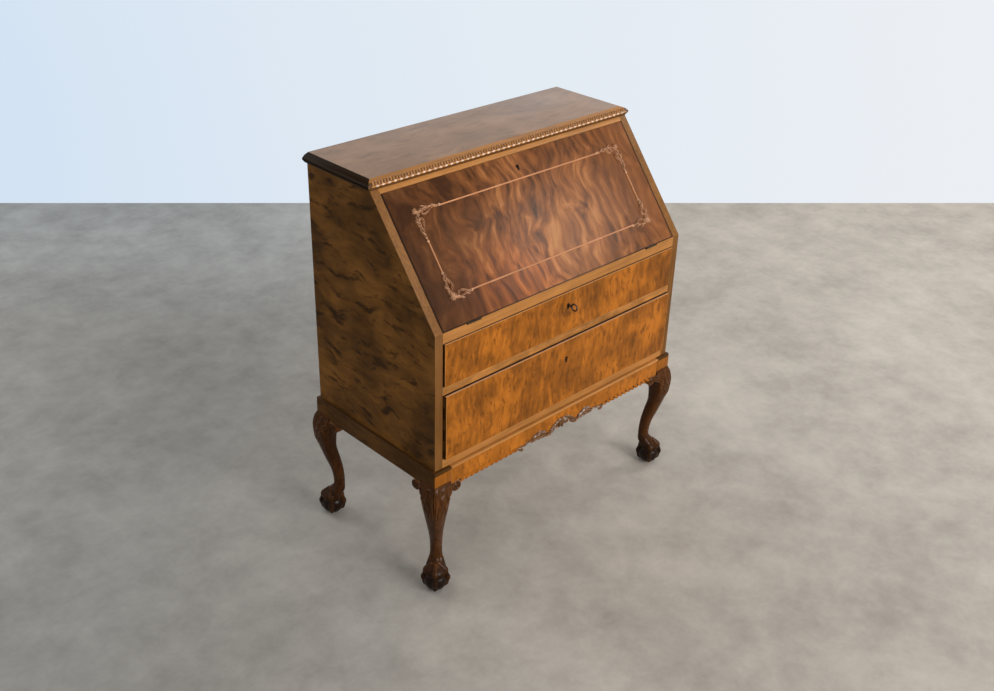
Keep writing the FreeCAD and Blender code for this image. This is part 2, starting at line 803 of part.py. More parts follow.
def make_lock(name, frame, thickness, key_level, top_level):
    """Lock let into the back of a front, with its bolt, escutcheon and keyhole cutter."""
    face = f"{thickness} - lock_depth"
    base = f"{key_level} - lock_below_key"
    seat = box(
        name + "_seat", ("-lock_half_width", "lock_half_width"), (face, thickness), (base, top_level), frame
    )
    inside = box(
        name + "_inside",
        ("-lock_half_width + lock_plate", "lock_half_width - lock_plate"),
        (f"{face} + lock_plate", f"{thickness} - lock_plate"),
        (f"{base} + lock_plate", f"{top_level} - lock_plate"),
        frame,
    )
    middle = f"{face} + lock_depth / 2"
    mouth = box(
        name + "_mouth",
        ("-bolt_half_width - bolt_slip", "bolt_half_width + bolt_slip"),
        (f"{middle} - bolt_thickness / 2 - bolt_slip", f"{middle} + bolt_thickness / 2 + bolt_slip"),
        (f"{top_level} - 2 * lock_plate", f"{top_level} + lock_plate"),
        frame,
    )
    round_hole = rod(
        name + "_hole",
        "y",
        ("0", "-lock_plate", key_level),
        "keyhole_radius",
        f"{face} + 3 * lock_plate",
        frame,
    )
    slot_hole = box(
        name + "_slot",
        ("-keyhole_radius / 2", "keyhole_radius / 2"),
        ("-lock_plate", f"{face} + 2 * lock_plate"),
        (f"{key_level} - keyhole_drop", key_level),
        frame,
    )
    keyhole = fuse(name + "_keyhole", [round_hole, slot_hole])
    keep(cut(name, seat, [inside, mouth, keyhole]))
    keep(box(
        name.replace("_lock", "_bolt"),
        ("-bolt_half_width", "bolt_half_width"),
        (f"{middle} - bolt_thickness / 2", f"{middle} + bolt_thickness / 2"),
        (f"{top_level} - lock_plate / 3 - bolt_length", f"{top_level} - lock_plate / 3"),
        frame,
    ))
    rim = "keyhole_radius + rim_width"
    plate = fuse(name + "_rim", [
        rod(name + "_rim_round", "y", ("0", "-rim_height", key_level), rim, "rim_height", frame),
        box(
            name + "_rim_slot",
            ("-keyhole_radius", "keyhole_radius"),
            ("-rim_height", "0"),
            (f"{key_level} - keyhole_drop - rim_width", key_level),
            frame,
        ),
    ])
    keep(cut(name.replace("_lock", "_escutcheon"), plate, [keyhole]))
    return [seat, keyhole]


def make_fall(leaf_seats):
    """The slanted fall with its bead frame, corner carvings and lock."""
    bevel = "fall_seat / slope_sin"
    corners = [
        on_slope(bevel, "0"),
        on_slope("fall_top", "0"),
        on_slope("fall_top", "fall_thickness"),
        on_slope(f"{bevel} + fall_thickness * slope_cos / slope_sin", "fall_thickness"),
    ]
    blank = prism("fall_blank", "YZ", corners, "2 * fall_half", "-fall_half")
    lock = make_lock("fall_lock", FALL, "fall_thickness", "fall_top - fall_key_drop", "fall_top")
    keep(cut("fall_panel", blank, leaf_seats + lock))

    outward = Rotation(Vector(0, 0, 1), HALF_TURN)
    beads, carvings = [], []
    for label, level, run in (("high", "frame_high", "carving_high"), ("low", "frame_low", "carving_low")):
        bead = rod(
            f"bead_{label}",
            "x",
            (f"-frame_half_width + {run}", "0", level),
            "frame_bead",
            f"2 * (frame_half_width - {run})",
            FALL,
            HALF_TURN,
        )
        bead.Placement = bead.Placement.multiply(Placement(Vector(), outward))
        beads.append(bead)
    upright = rod(
        "bead_right",
        "z",
        ("frame_half_width", "0", "frame_low + carving_low_up"),
        "frame_bead",
        "frame_tall - carving_high_up - carving_low_up",
        FALL,
        HALF_TURN,
    )
    upright.Placement = upright.Placement.multiply(Placement(Vector(), outward))
    beads += [upright, mirror("bead_left", upright)]
    keep(group("fall_bead_frame", beads))

    for label, level, run, down in (
        ("high", "frame_high", "carving_high", 1), ("low", "frame_low", "carving_low", -1)
    ):
        right = make_corner_carving(label, level, run, down)
        carvings += [right, mirror(f"corner_{label}_left", right)]
    keep(group("fall_corner_carvings", carvings))


def make_corner_carving(label, level, run, down):
    """Leaf scrolls along both arms of a corner of the frame and a boss between them."""
    arms = []
    turn_across = Rotation(Vector(0, 1, 0), -RIGHT_ANGLE)
    turn_along = Rotation(Vector(1, 0, 0), HALF_TURN if down > 0 else 0)
    for way, turn, length in (("across", turn_across, run), ("along", turn_along, run + "_up")):
        arm = doc.addObject("Part::Cone", f"corner_{label}_{way}")
        arm.setExpression("Radius1", formula("carving_radius"))
        arm.setExpression("Radius2", formula("frame_bead"))
        arm.setExpression("Height", formula(length))
        place(arm, ("frame_half_width", "0", level), FALL, turn)
        arms.append(arm)
    boss = doc.addObject("Part::Sphere", f"corner_{label}_boss")
    boss.setExpression("Radius", formula("boss_radius"))
    place(boss, ("frame_half_width", "0", level), FALL)
    inside = box(
        f"corner_{label}_inside",
        ("frame_half_width - 2 * carving_high", "frame_half_width + carving_high"),
        ("0", "fall_thickness"),
        (f"{level} - 2 * carving_high", f"{level} + 2 * carving_high"),
        FALL,
    )
    return cut(f"corner_{label}_right", fuse(f"corner_{label}", arms + [boss]), [inside])


def make_drawer(name, base, top, proud, key_drop):
    """A dovetailed drawer: front, sides, back, bottom sheet and lock."""
    face = f"front - {proud}"
    low, high = f"{base} + front_gap", f"{top} - front_gap"
    root = f"{face} + front_thickness"
    tall = f"({high} - {low})"
    frame = Placement(Vector(0, value(face), 0), Rotation())
    sheet_low = f"{low} + bottom_rise"
    sheet_high = f"{sheet_low} + bottom_sheet"
    groove = "(box_half + groove_depth)"
    sheet_board = keep(box(
        name + "_bottom",
        (f"-{groove}", groove),
        (f"{root} - groove_depth", "drawer_end"),
        (sheet_low, sheet_high),
    ))
    parts = [box(
        name + "_side_board",
        ("box_half", "front_half"),
        (root, "drawer_end"),
        (f"{base} + drawer_lift", high),
    )]
    tail_count = 3
    # Middle, wide end and slim end of a tail as shares of the pitch between tails.
    tail_middle, tail_wide, tail_slim = 0.62, 0.26, 0.19
    for number in range(tail_count):
        middle = f"{low} + {tall} * {(number + tail_middle) / tail_count}"
        wide, slim = f"{tall} * {tail_wide / tail_count}", f"{tall} * {tail_slim / tail_count}"
        parts.append(taper(
            f"{name}_tail_{number}",
            ("box_half", "front_half", "box_half", "front_half"),
            (f"{root} - dovetail_length", root),
            (f"{middle} - {wide}", f"{middle} + {wide}", f"{middle} - {slim}", f"{middle} + {slim}"),
        ))
    right = cut(name + "_side", fuse(name + "_side_whole", parts), [sheet_board])
    left = mirror(name + "_side_left", right)
    keep(group(name + "_sides", [right, left]))
    keep(box(
        name + "_back",
        ("-box_half", "box_half"),
        ("drawer_end - drawer_side", "drawer_end"),
        (sheet_high, f"{high} - bottom_rise"),
    ))
    lock = make_lock(name + "_lock", frame, "front_thickness", f"{high} - {key_drop}", high)
    front = box(name + "_front_board", ("-front_half", "front_half"), (face, root), (low, high))
    keep(cut(name + "_front", front, [right, left, sheet_board] + lock))


def make_key():
    """The key left in the upper drawer, its bow upright and its bit inside the lock."""
    face = "front - upper_proud"
    level = "writing_base - front_gap - upper_key_drop"
    bow = doc.addObject("Part::Torus", "key_bow")
    bow.setExpression("Radius1", formula("key_ring"))
    bow.setExpression("Radius2", formula("key_wire"))
    place(bow, ("0", f"{face} - key_reach", level), turn=AXIS_TURN["x"])
    stem_start = f"{face} - key_reach + key_ring"
    inside = "front_thickness - lock_depth + lock_plate"
    stem = rod(
        "key_shank",
        "y",
        ("0", stem_start, level),
        "key_stem",
        f"key_reach - key_ring + {inside} + lock_depth / 2",
    )
    collar = rod("key_collar", "y", ("0", stem_start, level), "key_stem * 1.5", "key_stem")
    bit = box(
        "key_bit",
        ("-keyhole_radius / 3", "keyhole_radius / 3"),
        (f"{face} + {inside} + 1", f"{face} + {inside} + lock_depth / 2"),
        (f"{level} - keyhole_drop + bolt_slip", level),
    )
    keep(fuse("key", [bow, stem, collar, bit]))


def bar(name, start, end, x, bosses):
    """A flat stay arm between two pivots, bored at its ends or carrying a rivet head."""
    length = (end - start).Length
    turn = Rotation(Vector(0, 1, 0), end - start)
    frame = Placement(Vector(0, start.y, start.z), turn)
    wide = "stay_width / 2"
    thick = f"({x[1]}) - ({x[0]})"
    body = [box(name + "_strap", x, ("0", str(length)), (f"-{wide}", wide), frame)]
    for number, reach in enumerate((0, length)):
        body.append(rod(f"{name}_end_{number}", "x", (x[0], str(reach), "0"), wide, thick, frame))
    body.append(rod(
        name + "_rivet", "x", (bosses, str(length), "0"), "rivet_radius", "stay_thickness / 2", frame
    ))
    bore = rod(name + "_bore", "x", (x[0], "0", "0"), "stay_pivot + pin_clearance", thick, frame)
    return both_sides(name, cut(name + "_right", fuse(name + "_whole", body), [bore]))


def make_stays():
    """Two folding stays: a bracket and an arm on the case, an arm and a bracket on the fall."""
    case_y, case_z = "front + stay_back", "slope_foot + stay_rise"
    fall_y, fall_z = on_slope("stay_reach", "stay_rise")
    anchor = Vector(0, value(case_y), value(case_z))
    hook = Vector(0, value(fall_y), value(fall_z))
    case_arm, fall_arm = value("stay_case_arm"), value("stay_fall_arm")
    span = hook - anchor
    share = (case_arm ** 2 + span.Length ** 2 - fall_arm ** 2) / (2 * case_arm * span.Length)
    heading = math.atan2(span.z, span.y) - math.acos(share)
    knuckle = anchor + Vector(0, math.cos(heading), math.sin(heading)) * case_arm

    half = "stay_thickness / 2"
    outer = (f"side_inner - stay_layer - {half}", f"side_inner - stay_layer + {half}")
    inner = (f"side_inner - 2 * stay_layer - {half}", f"side_inner - 2 * stay_layer + {half}")
    keep(bar("stay_case_arms", anchor, knuckle, outer, outer[1]))
    keep(bar("stay_fall_arms", hook, knuckle, inner, f"{inner[0]} - stay_thickness / 2"))

    case_stud = rod(
        "case_stud",
        "x",
        (f"{outer[0]} - pin_clearance", case_y, case_z),
        "stay_pivot",
        "stay_layer + stay_thickness / 2",
    )
    case_plate = box(
        "case_stud_plate",
        ("side_inner - stay_thickness / 2", "side_inner"),
        (f"{case_y} - stay_plate", f"{case_y} + stay_plate"),
        (f"{case_z} - stay_plate", f"{case_z} + stay_plate"),
    )
    keep(both_sides("stay_case_brackets", fuse("stay_case_bracket", [case_stud, case_plate])))
    lug_in, lug_out = f"{inner[0]} - 3 * stay_thickness", f"{inner[0]} - stay_thickness"
    lug = box(
        "fall_lug",
        (lug_in, lug_out),
        ("fall_thickness", "stay_rise + stay_width / 2"),
        ("stay_reach - stay_width", "stay_reach + stay_width"),
        FALL,
    )
    fall_stud = rod(
        "fall_stud",
        "x",
        (lug_out, "stay_rise", "stay_reach"),
        "stay_pivot",
        "2 * stay_thickness + pin_clearance",
        FALL,
    )
    keep(both_sides("stay_fall_brackets", fuse("stay_fall_bracket", [lug, fall_stud])))


def make_inside():
    """Shelf, uprights and two small drawers behind the fall."""
    run = ("gallery_face", "back_face")
    keep(box("gallery_shelf", ("-side_inner", "side_inner"), run, ("shelf_base", "shelf_top")))
    board = "gallery_board / 2"
    edge = "(gallery_board / 2 + small_width + gallery_board)"
    uprights = [box("upright_middle", (f"-{board}", board), run, ("slope_foot", "shelf_base"))]
    outer = box("upright_right", (edge + " - gallery_board", edge), run, ("slope_foot", "shelf_base"))
    uprights += [outer, mirror("upright_left", outer)]
    hole_count = 6
    for number in range(1, hole_count):
        middle = f"side_inner * (2 * {number} / {hole_count} - 1)"
        uprights.append(box(
            f"divider_{number}",
            (f"{middle} - {board}", f"{middle} + {board}"),
            run,
            ("shelf_top", "case_top"),
        ))
    keep(group("gallery_dividers", uprights))

    for side, sign in (("left", -1), ("right", 1)):
        name = f"inner_{side}_drawer"
        ends = sorted([f"{board} + small_gap", f"{board} + small_width - small_gap"], key=value)
        if sign < 0:
            ends = [f"-({ends[1]})", f"-({ends[0]})"]
        low, high = "slope_foot + drawer_lift", "shelf_base - small_gap"
        face, root = "gallery_face", "gallery_face + small_front"
        front = box(name + "_front", ends, (face, root), (low, high))
        keep(front)
        end = "back_face - small_front"
        outside = box(name + "_outside", ends, (root, end), (low, f"{high} - small_wall"))
        hollow = box(
            name + "_hollow",
            (f"{ends[0]} + small_wall", f"{ends[1]} - small_wall"),
            (f"{root} - 1", f"{end} - small_wall"),
            (f"{low} + small_wall", high),
        )
        keep(cut(name + "_tray", outside, [hollow]))
        middle = (f"({ends[0]} + {ends[1]}) / 2", f"({low} + {high}) / 2")
        neck = rod(
            name + "_neck",
            "y",
            (middle[0], f"{face} - knob_radius", middle[1]),
            "knob_radius / 2",
            "knob_radius",
        )
        ball = doc.addObject("Part::Sphere", name + "_ball")
        ball.setExpression("Radius", formula("knob_radius"))
        place(ball, (middle[0], f"{face} - knob_reach", middle[1]))
        keep(fuse(name + "_knob", [neck, ball]))


def build():
    """Model every piece, check it and write its file."""
    boards = make_case()
    make_top()
    screw_holes = make_stand()
    case_seats, fall_seats = make_hinges()
    make_fall(fall_seats)
    make_drawer("upper_drawer", "rail_top", "writing_base", "upper_proud", "upper_key_drop")
    make_drawer("lower_drawer", "bottom_top", "middle_rail_base", "lower_proud", "lower_key_drop")
    make_key()
    make_stays()
    make_inside()

    upper_slot = bolt_slot("upper_bolt_slot", "writing_base", "upper_proud")
    lower_slot = bolt_slot("lower_bolt_slot", "middle_rail_base", "lower_proud")
    keep(cut("writing_board", boards["writing_board"], [upper_slot] + case_seats))
    keep(cut("middle_rail", boards["middle_rail"], [lower_slot]))
    keep(cut("bottom_board", boards["bottom_board"], [screw_holes]))

    doc.recompute()
    for item in doc.Objects:
        faults = [word for word in item.State if word in ("Invalid", "Error")]
        if faults:
            raise RuntimeError(f"{item.Label} is {faults}")
    os.makedirs("parts", exist_ok=True)
    for item in pieces:
        shape = item.Shape
        if shape.isNull() or not shape.isValid() or not shape.Solids:
            raise RuntimeError(f"{item.Label} has no sound shape")
        shape.exportStep(f"parts/{item.Label}.step")


build()
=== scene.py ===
import json
import math
from collections import namedtuple
from functools import reduce

import bmesh
import bpy
from bpy.props import FloatProperty, FloatVectorProperty, PointerProperty
from mathutils import Matrix, Vector

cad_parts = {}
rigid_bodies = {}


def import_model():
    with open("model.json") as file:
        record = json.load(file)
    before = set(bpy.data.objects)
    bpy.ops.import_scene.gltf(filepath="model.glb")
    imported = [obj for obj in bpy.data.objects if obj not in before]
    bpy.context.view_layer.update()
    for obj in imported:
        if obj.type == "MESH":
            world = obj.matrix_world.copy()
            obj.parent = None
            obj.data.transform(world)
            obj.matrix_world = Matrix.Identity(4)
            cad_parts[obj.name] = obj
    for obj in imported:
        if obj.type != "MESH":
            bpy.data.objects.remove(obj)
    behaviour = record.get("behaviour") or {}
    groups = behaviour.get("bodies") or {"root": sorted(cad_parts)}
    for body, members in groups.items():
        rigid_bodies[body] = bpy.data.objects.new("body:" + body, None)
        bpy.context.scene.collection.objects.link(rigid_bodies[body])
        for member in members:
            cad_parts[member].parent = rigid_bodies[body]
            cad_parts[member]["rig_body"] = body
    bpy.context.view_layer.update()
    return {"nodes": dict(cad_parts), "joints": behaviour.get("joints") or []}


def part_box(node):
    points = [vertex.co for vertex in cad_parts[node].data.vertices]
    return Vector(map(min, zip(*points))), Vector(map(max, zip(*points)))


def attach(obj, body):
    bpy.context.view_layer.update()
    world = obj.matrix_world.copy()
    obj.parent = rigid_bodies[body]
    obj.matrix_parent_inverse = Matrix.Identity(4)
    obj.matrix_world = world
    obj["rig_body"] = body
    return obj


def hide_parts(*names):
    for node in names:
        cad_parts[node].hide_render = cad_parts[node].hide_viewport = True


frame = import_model()

bl_info = {
    "name": "Escritoire Maker",
    "version": (1, 0, 0),
    "blender": (4, 5, 0),
    "location": "View3D > Sidebar > Escritoire",
    "description": "Veneers, carving, fittings and a studio stage for the slant-front escritoire",
    "category": "Object",
}

MM = 0.001
FULL_TURN = 2 * math.pi
LEFT, RIGHT = Vector((-1, 0, 0)), Vector((1, 0, 0))
FRONT, BACK = Vector((0, -1, 0)), Vector((0, 1, 0))
DOWN, UP = Vector((0, 0, -1)), Vector((0, 0, 1))

HINGE = next(joint for joint in frame["joints"] if joint["name"] == "fall_hinge")
SLOPE = math.pi - math.radians(HINGE["range_deg"][1])
# X runs across the fall, Y in through it and Z up the slope.
FALL = Matrix.Translation(HINGE["pos_m"]) @ Matrix.Rotation(SLOPE - math.pi / 2, 4, "X")
SLOPE_OUT = Vector((0, -math.sin(SLOPE), math.cos(SLOPE)))
# Half width of the bars of the bead frame on the fall.
FRAME_BEAD = 0.0032

APRON_LOW, APRON_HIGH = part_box("front_apron")
STAND_FRONT, APRON_BASE = APRON_LOW.y, APRON_LOW.z
STAND_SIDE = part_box("right_apron")[1].x
POST_WIDTH = 0.054


def length_property(label, words, default, least):
    """A length that a user can change."""
    return FloatProperty(name=label, description=words, default=default, min=least, unit="LENGTH")


def colour_property(label, words, colour):
    """A colour that a user can change."""
    return FloatVectorProperty(
        name=label, description=words, subtype="COLOR", size=3, min=0, max=1, default=colour,
    )


def power_property(label, words, default):
    """The power of a lamp that a user can change."""
    return FloatProperty(name=label, description=words, default=default, min=0, unit="POWER")


class EscritoireSizes(bpy.types.PropertyGroup):
    """Sizes of the carving and of the eased edges."""

    edge_ease: length_property("Edge ease", "Width of the eased arris on the boards", 0.0011, 0.0002)
    leaf_pitch: length_property(
        "Leaf pitch", "Step from leaf to leaf along the front of the top", 0.0088, 0.006,
    )
    leaf_relief: length_property(
        "Leaf relief", "Height of the leaves carved on the front of the top", 0.0026, 0.0005,
    )
    gadroon_pitch: length_property(
        "Gadroon pitch", "Step from lobe to lobe under the front apron", 0.027, 0.01,
    )
    scroll_relief: length_property("Scroll relief", "Height of the leaf scrolls on the fall", 0.0078, 0.001)
    knee_relief: length_property("Knee relief", "Depth of the leaf carved on each knee", 0.0030, 0.0)
    ball_radius: length_property("Ball radius", "Radius of the ball in each claw foot", 0.031, 0.01)


class EscritoireFinishes(bpy.types.PropertyGroup):
    """Colours of the woods and metals."""

    # The sides' colour is darker than their wood alone: part of it is painted shade.
    side_wood: colour_property("Side", "Ground colour of the case sides", (0.150, 0.062, 0.012))
    top_wood: colour_property("Top", "Ground colour of the top board", (0.281, 0.162, 0.092))
    back_wood: colour_property("Back", "Ground colour of the back panel", (0.27, 0.140, 0.062))
    fall_wood: colour_property("Fall", "Ground colour of the flame veneer", (0.148, 0.050, 0.0125))
    drawer_wood: colour_property("Drawers", "Ground colour of the burr veneer", (0.272, 0.086, 0.0075))
    edging_wood: colour_property("Edging", "Colour of rails, strips and stile edges", (0.370, 0.158, 0.040))
    carved_wood: colour_property("Carving", "Colour of the carving on the fall", (0.300, 0.128, 0.054))
    bead_wood: colour_property("Bead frame", "Colour of the bead frame on the fall", (0.520, 0.234, 0.1066))
    reel_wood: colour_property("Reels", "Colour of the long beads on the top", (0.66, 0.36, 0.20))
    leg_wood: colour_property("Legs", "Colour of the stained legs", (0.070, 0.024, 0.0056))
    inner_wood: colour_property("Inside", "Colour of the bare wood inside", (0.50, 0.33, 0.17))
    brass: colour_property("Brass", "Colour of the aged brass", (0.62, 0.43, 0.17))
    bronze: colour_property("Bronze", "Colour of the dark bronze", (0.060, 0.040, 0.024))
    iron: colour_property("Iron", "Colour of the dark iron", (0.10, 0.092, 0.085))
    floor: colour_property("Floor", "Colour of the studio floor", (0.403, 0.366, 0.323))
    wall: colour_property("Wall", "Colour of the studio wall", (0.767, 0.831, 0.897))


class EscritoireStage(bpy.types.PropertyGroup):
    """Camera and light of the studio."""

    lens: FloatProperty(
        name="Lens", description="Focal length of the camera on a 36 mm sensor",
        default=40.84, min=10, unit="CAMERA",
    )
    key_power: power_property("Key light", "Power of the soft light from the front", 355.0)
    window_power: power_property("Window light", "Power of the soft light from the right", 70.0)
    back_power: power_property("Back light", "Power of the soft light from behind", 55.0)
    sheen_power: power_property(
        "Sheen light", "Power of the small light that shows in the polished fall", 6.8,
    )
    sky_level: FloatProperty(
        name="Sky level", description="Strength of the even light all round", default=0.42, min=0,
    )


class Finish:
    """A material being made: short calls add nodes and join them."""

    def __init__(self, name):
        self.material = bpy.data.materials.new(name)
        self.material.use_nodes = True
        self.tree = self.material.node_tree
        self.shader = self.tree.nodes["Principled BSDF"]
        self.place = self.add("ShaderNodeTexCoord").outputs["Object"]

    def add(self, kind, values=None, **settings):
        node = self.tree.nodes.new(kind)
        for label, setting in settings.items():
            setattr(node, label, setting)
        for socket, given in (values or {}).items():
            self.feed(node.inputs[socket], given)
        return node

    def feed(self, socket, given):
        if isinstance(given, bpy.types.NodeSocket):
            self.tree.links.new(given, socket)
        elif socket.type == "RGBA" and len(given) == 3:
            socket.default_value = (*given, 1)
        else:
            socket.default_value = given

    def axes(self, spot):
        """The coordinates of a spot, one by one."""
        return self.add("ShaderNodeSeparateXYZ", {0: spot}).outputs

    def mapped(self, spot, turn=(0, 0, 0), scale=(1, 1, 1)):
        node = self.add("ShaderNodeMapping", {"Vector": spot, "Rotation": turn, "Scale": scale})
        return node.outputs["Vector"]

    def noise(self, spot, scale, detail=3.0, roughness=0.55, output="Fac"):
        values = {"Vector": spot, "Scale": scale, "Detail": detail, "Roughness": roughness}
        return self.add("ShaderNodeTexNoise", values).outputs[output]

    def figure(self, spot, scale, detail=2.0, roughness=0.55):
        """Noise that is stretched along an axis."""
        return self.noise(self.mapped(spot, scale=scale), 1.0, detail, roughness)

    def drifted(self, spot, scale, amount):
        """A spot pushed about, so that a figure on it wanders."""
        push = self.noise(spot, scale, 2.0, output="Color")
        middle = (0.5, 0.5, 0.5)
        centred = self.add("ShaderNodeVectorMath", {0: push, 1: middle}, operation="SUBTRACT").outputs[0]
        scaled = self.add("ShaderNodeVectorMath", {0: centred, "Scale": amount}, operation="SCALE").outputs[0]
        return self.add("ShaderNodeVectorMath", {0: spot, 1: scaled}, operation="ADD").outputs[0]

    def span(self, given, low, high, to_low=0.0, to_high=1.0):
        values = {"Value": given, "From Min": low, "From Max": high, "To Min": to_low, "To Max": to_high}
        return self.add("ShaderNodeMapRange", values, clamp=True).outputs["Result"]

    def calc(self, operation, first, second=0.0):
        return self.add("ShaderNodeMath", {0: first, 1: second}, operation=operation).outputs[0]

    def plus(self, first, second):
        return self.calc("ADD", first, second)

    def times(self, first, second):
        return self.calc("MULTIPLY", first, second)

    def weighed(self, *parts):
        """The sum of greys, each times its share."""
        return reduce(self.plus, [self.times(grey, share) for grey, share in parts])

    def mix(self, share, first, second, blend="MIX"):
        node = self.add("ShaderNodeMix", data_type="RGBA", blend_type=blend)
        for number, given in ((0, share), (6, first), (7, second)):
            self.feed(node.inputs[number], given)
        return node.outputs[2]

    def ramp(self, share, stops):
        node = self.add("ShaderNodeValToRGB", {"Fac": share})
        elements = node.color_ramp.elements
        elements.remove(elements[1])
        elements[0].position, elements[0].color = stops[0][0], (*stops[0][1], 1)
        for position, colour in stops[1:]:
            elements.new(position).color = (*colour, 1)
        return node.outputs["Color"]

    def relief(self, height, depth):
        values = {"Height": height, "Distance": depth, "Strength": 1.0}
        return self.add("ShaderNodeBump", values).outputs["Normal"]

    def done(self, colour, roughness, normal=None, **constants):
        self.feed(self.shader.inputs["Base Color"], colour)
        self.feed(self.shader.inputs["Roughness"], roughness)
        if normal is not None:
            self.feed(self.shader.inputs["Normal"], normal)
        for label, constant in constants.items():
            self.feed(self.shader.inputs[label.replace("_", " ").title().replace("Ior", "IOR")], constant)
        return self.material


def shade(colour, factor):
    """A colour made darker or lighter."""
    return tuple(min(1.0, part * factor) for part in colour)


def tint(ground, given):
    """A colour of its own, or a share of the ground colour."""
    return shade(ground, given) if isinstance(given, float) else given


def chosen(label, tone=1.0):
    """A colour from the panel, darker or lighter."""
    return shade(getattr(bpy.context.scene.escritoire_finishes, label), tone)


def polished_veneer(name, row):
    """Varnished veneer whose figure runs up its own Z: clouds, streaks, dark flecks and pores."""
    f, ground = Finish(name), chosen(row.wood, row.tone)
    board = f.mapped(f.place, row.turn)
    grain = f.drifted(board, *row.drift)
    clouds = f.noise(grain, row.cloud)
    streaks = f.figure(grain, row.streak, 4.0, 0.6)
    body = f.ramp(f.weighed((clouds, 0.55), (streaks, 0.45)), (
        (0.36, shade(ground, 1 - 0.70 * row.contrast)),
        (0.50, ground),
        (0.62, shade(ground, 1 + 0.80 * row.contrast)),
    ))
    spots = f.span(f.figure(grain, row.fleck, 3.0, 0.62), 0.54, 0.66, 0.0, row.flecks)
    body = f.mix(spots, body, shade(ground, row.fleck_tone))
    pores = f.figure(board, (1300, 1300, 60))
    body = f.mix(f.span(pores, 0.52, 0.72, 0.0, 0.32), body, shade(ground, 0.38))
    worn = f.noise(board, 9.0, 4.0, 0.65)
    return f.done(
        body, f.span(worn, 0.3, 0.7, row.gloss, row.gloss + 0.14),
        f.relief(f.plus(f.times(pores, 0.4), streaks), 0.00018),
        coat_weight=row.shine * 0.3, coat_roughness=0.18, specular_ior_level=row.shine,
    )


def flame_veneer(name, row):
    """Flame figure: soft wavy streaks that climb the slope, with painted shade to the left, a painted sheen
    to the right and painted shadow lines at the edges and the foot.
    """
    f, ground = Finish(name), chosen(row.wood)
    tilt = math.pi / 2 - SLOPE
    board = f.mapped(f.place, (tilt, 0, 0))
    lazy = f.drifted(board, 3.2, 0.22)
    grain = f.drifted(lazy, 10.0, 0.06)
    flames = f.figure(grain, (46, 46, 8), 2.0, 0.5)
    licks = f.figure(grain, (120, 120, 22), 2.0, 0.5)
    clouds = f.noise(lazy, 5.0)
    body = f.ramp(f.weighed((flames, 0.50), (licks, 0.12), (clouds, 0.38)), (
        (0.39, shade(ground, 0.36)),
        (0.48, ground),
        (0.55, shade(ground, 1.6)),
        (0.64, row.bright),
    ))
    pores = f.figure(board, (1200, 1200, 50))
    body = f.mix(f.span(pores, 0.52, 0.72, 0.0, 0.35), body, shade(ground, 0.32))
    drift, spot = f.axes(lazy)["X"], f.axes(board)
    # Painted shade: darker towards the left, where the fall shows no sheen.
    body = f.mix(f.span(drift, -0.12, -0.42, 0.0, 0.92), body, shade(ground, 0.25))
    # Painted sheen: lighter towards the right.
    body = f.mix(f.span(drift, 0.16, 0.42, 0.0, 0.62), body, shade(ground, 1.25))
    foot = (Matrix.Rotation(tilt, 3, "X") @ Vector(HINGE["pos_m"])).z
    warm = f.times(f.span(drift, -0.38, -0.24), f.span(drift, 0.05, -0.12))
    warm = f.times(warm, f.span(spot["Z"], foot + 0.20, foot + 0.05))
    body = f.mix(warm, body, row.warmth, "MULTIPLY")
    # Painted shadow lines along the side edges and at the foot, where the fall meets the case.
    edge = f.span(f.calc("ABSOLUTE", spot["X"]), *row.edge)
    seam = f.span(spot["Z"], foot + row.seam[0], foot + row.seam[1])
    body = f.mix(f.times(f.calc("MAXIMUM", edge, seam), 0.9), body, shade(ground, 0.10))
    return f.done(
        body, f.span(clouds, 0.3, 0.7, 0.17, 0.25),
        f.relief(f.plus(f.times(pores, 0.4), licks), 0.00018),
        coat_weight=0.03, coat_roughness=0.2, specular_ior_level=0.15,
    )


def plain_wood(name, row):
    """Straight grained wood with growth lines and pores along its own Z."""
    f, ground = Finish(name), chosen(row.wood, row.tone)
    board = f.mapped(f.place, row.turn)
    grain = f.drifted(board, 5.0, 0.012)
    lines = f.figure(grain, (170, 170, 4), 4.0, 0.6)
    clouds = f.noise(grain, 11.0)
    body = f.ramp(f.weighed((lines, 0.6), (clouds, 0.4)), (
        (0.33, shade(ground, 1 - 0.55 * row.contrast)),
        (0.50, ground),
        (0.68, shade(ground, 1 + 0.45 * row.contrast)),
    ))
    pores = f.figure(board, (1500, 1500, 45))
    body = f.mix(f.span(pores, 0.54, 0.74, 0.0, 0.30), body, shade(ground, 0.45))
    return f.done(
        body, f.span(clouds, 0.3, 0.7, row.gloss, row.gloss + 0.15),
        f.relief(f.plus(pores, lines), 0.00012), specular_ior_level=row.shine,
    )


def drawer_edge(name, row):
    """Top edge of a drawer front: pale at the front with wear and a painted highlight, and dark behind with
    painted shadow.
    """
    f = Finish(name)
    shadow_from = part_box(row.drawer + "_front")[0].y + row.pale
    worn = f.figure(f.place, (30, 300, 300), 4.0, 0.6)
    worn_and_highlit = f.mix(f.span(worn, 0.35, 0.70), (0.62, 0.37, 0.24), (0.42, 0.20, 0.10))
    # Painted shadow: the edge goes dark behind the pale front strip.
    body = f.mix(f.span(f.axes(f.place)["Y"], shadow_from, shadow_from + 0.0006), worn_and_highlit, (0.020, 0.008, 0.003))
    return f.done(body, f.span(worn, 0.3, 0.7, 0.24, 0.38), f.relief(worn, 0.0001), specular_ior_level=0.35)


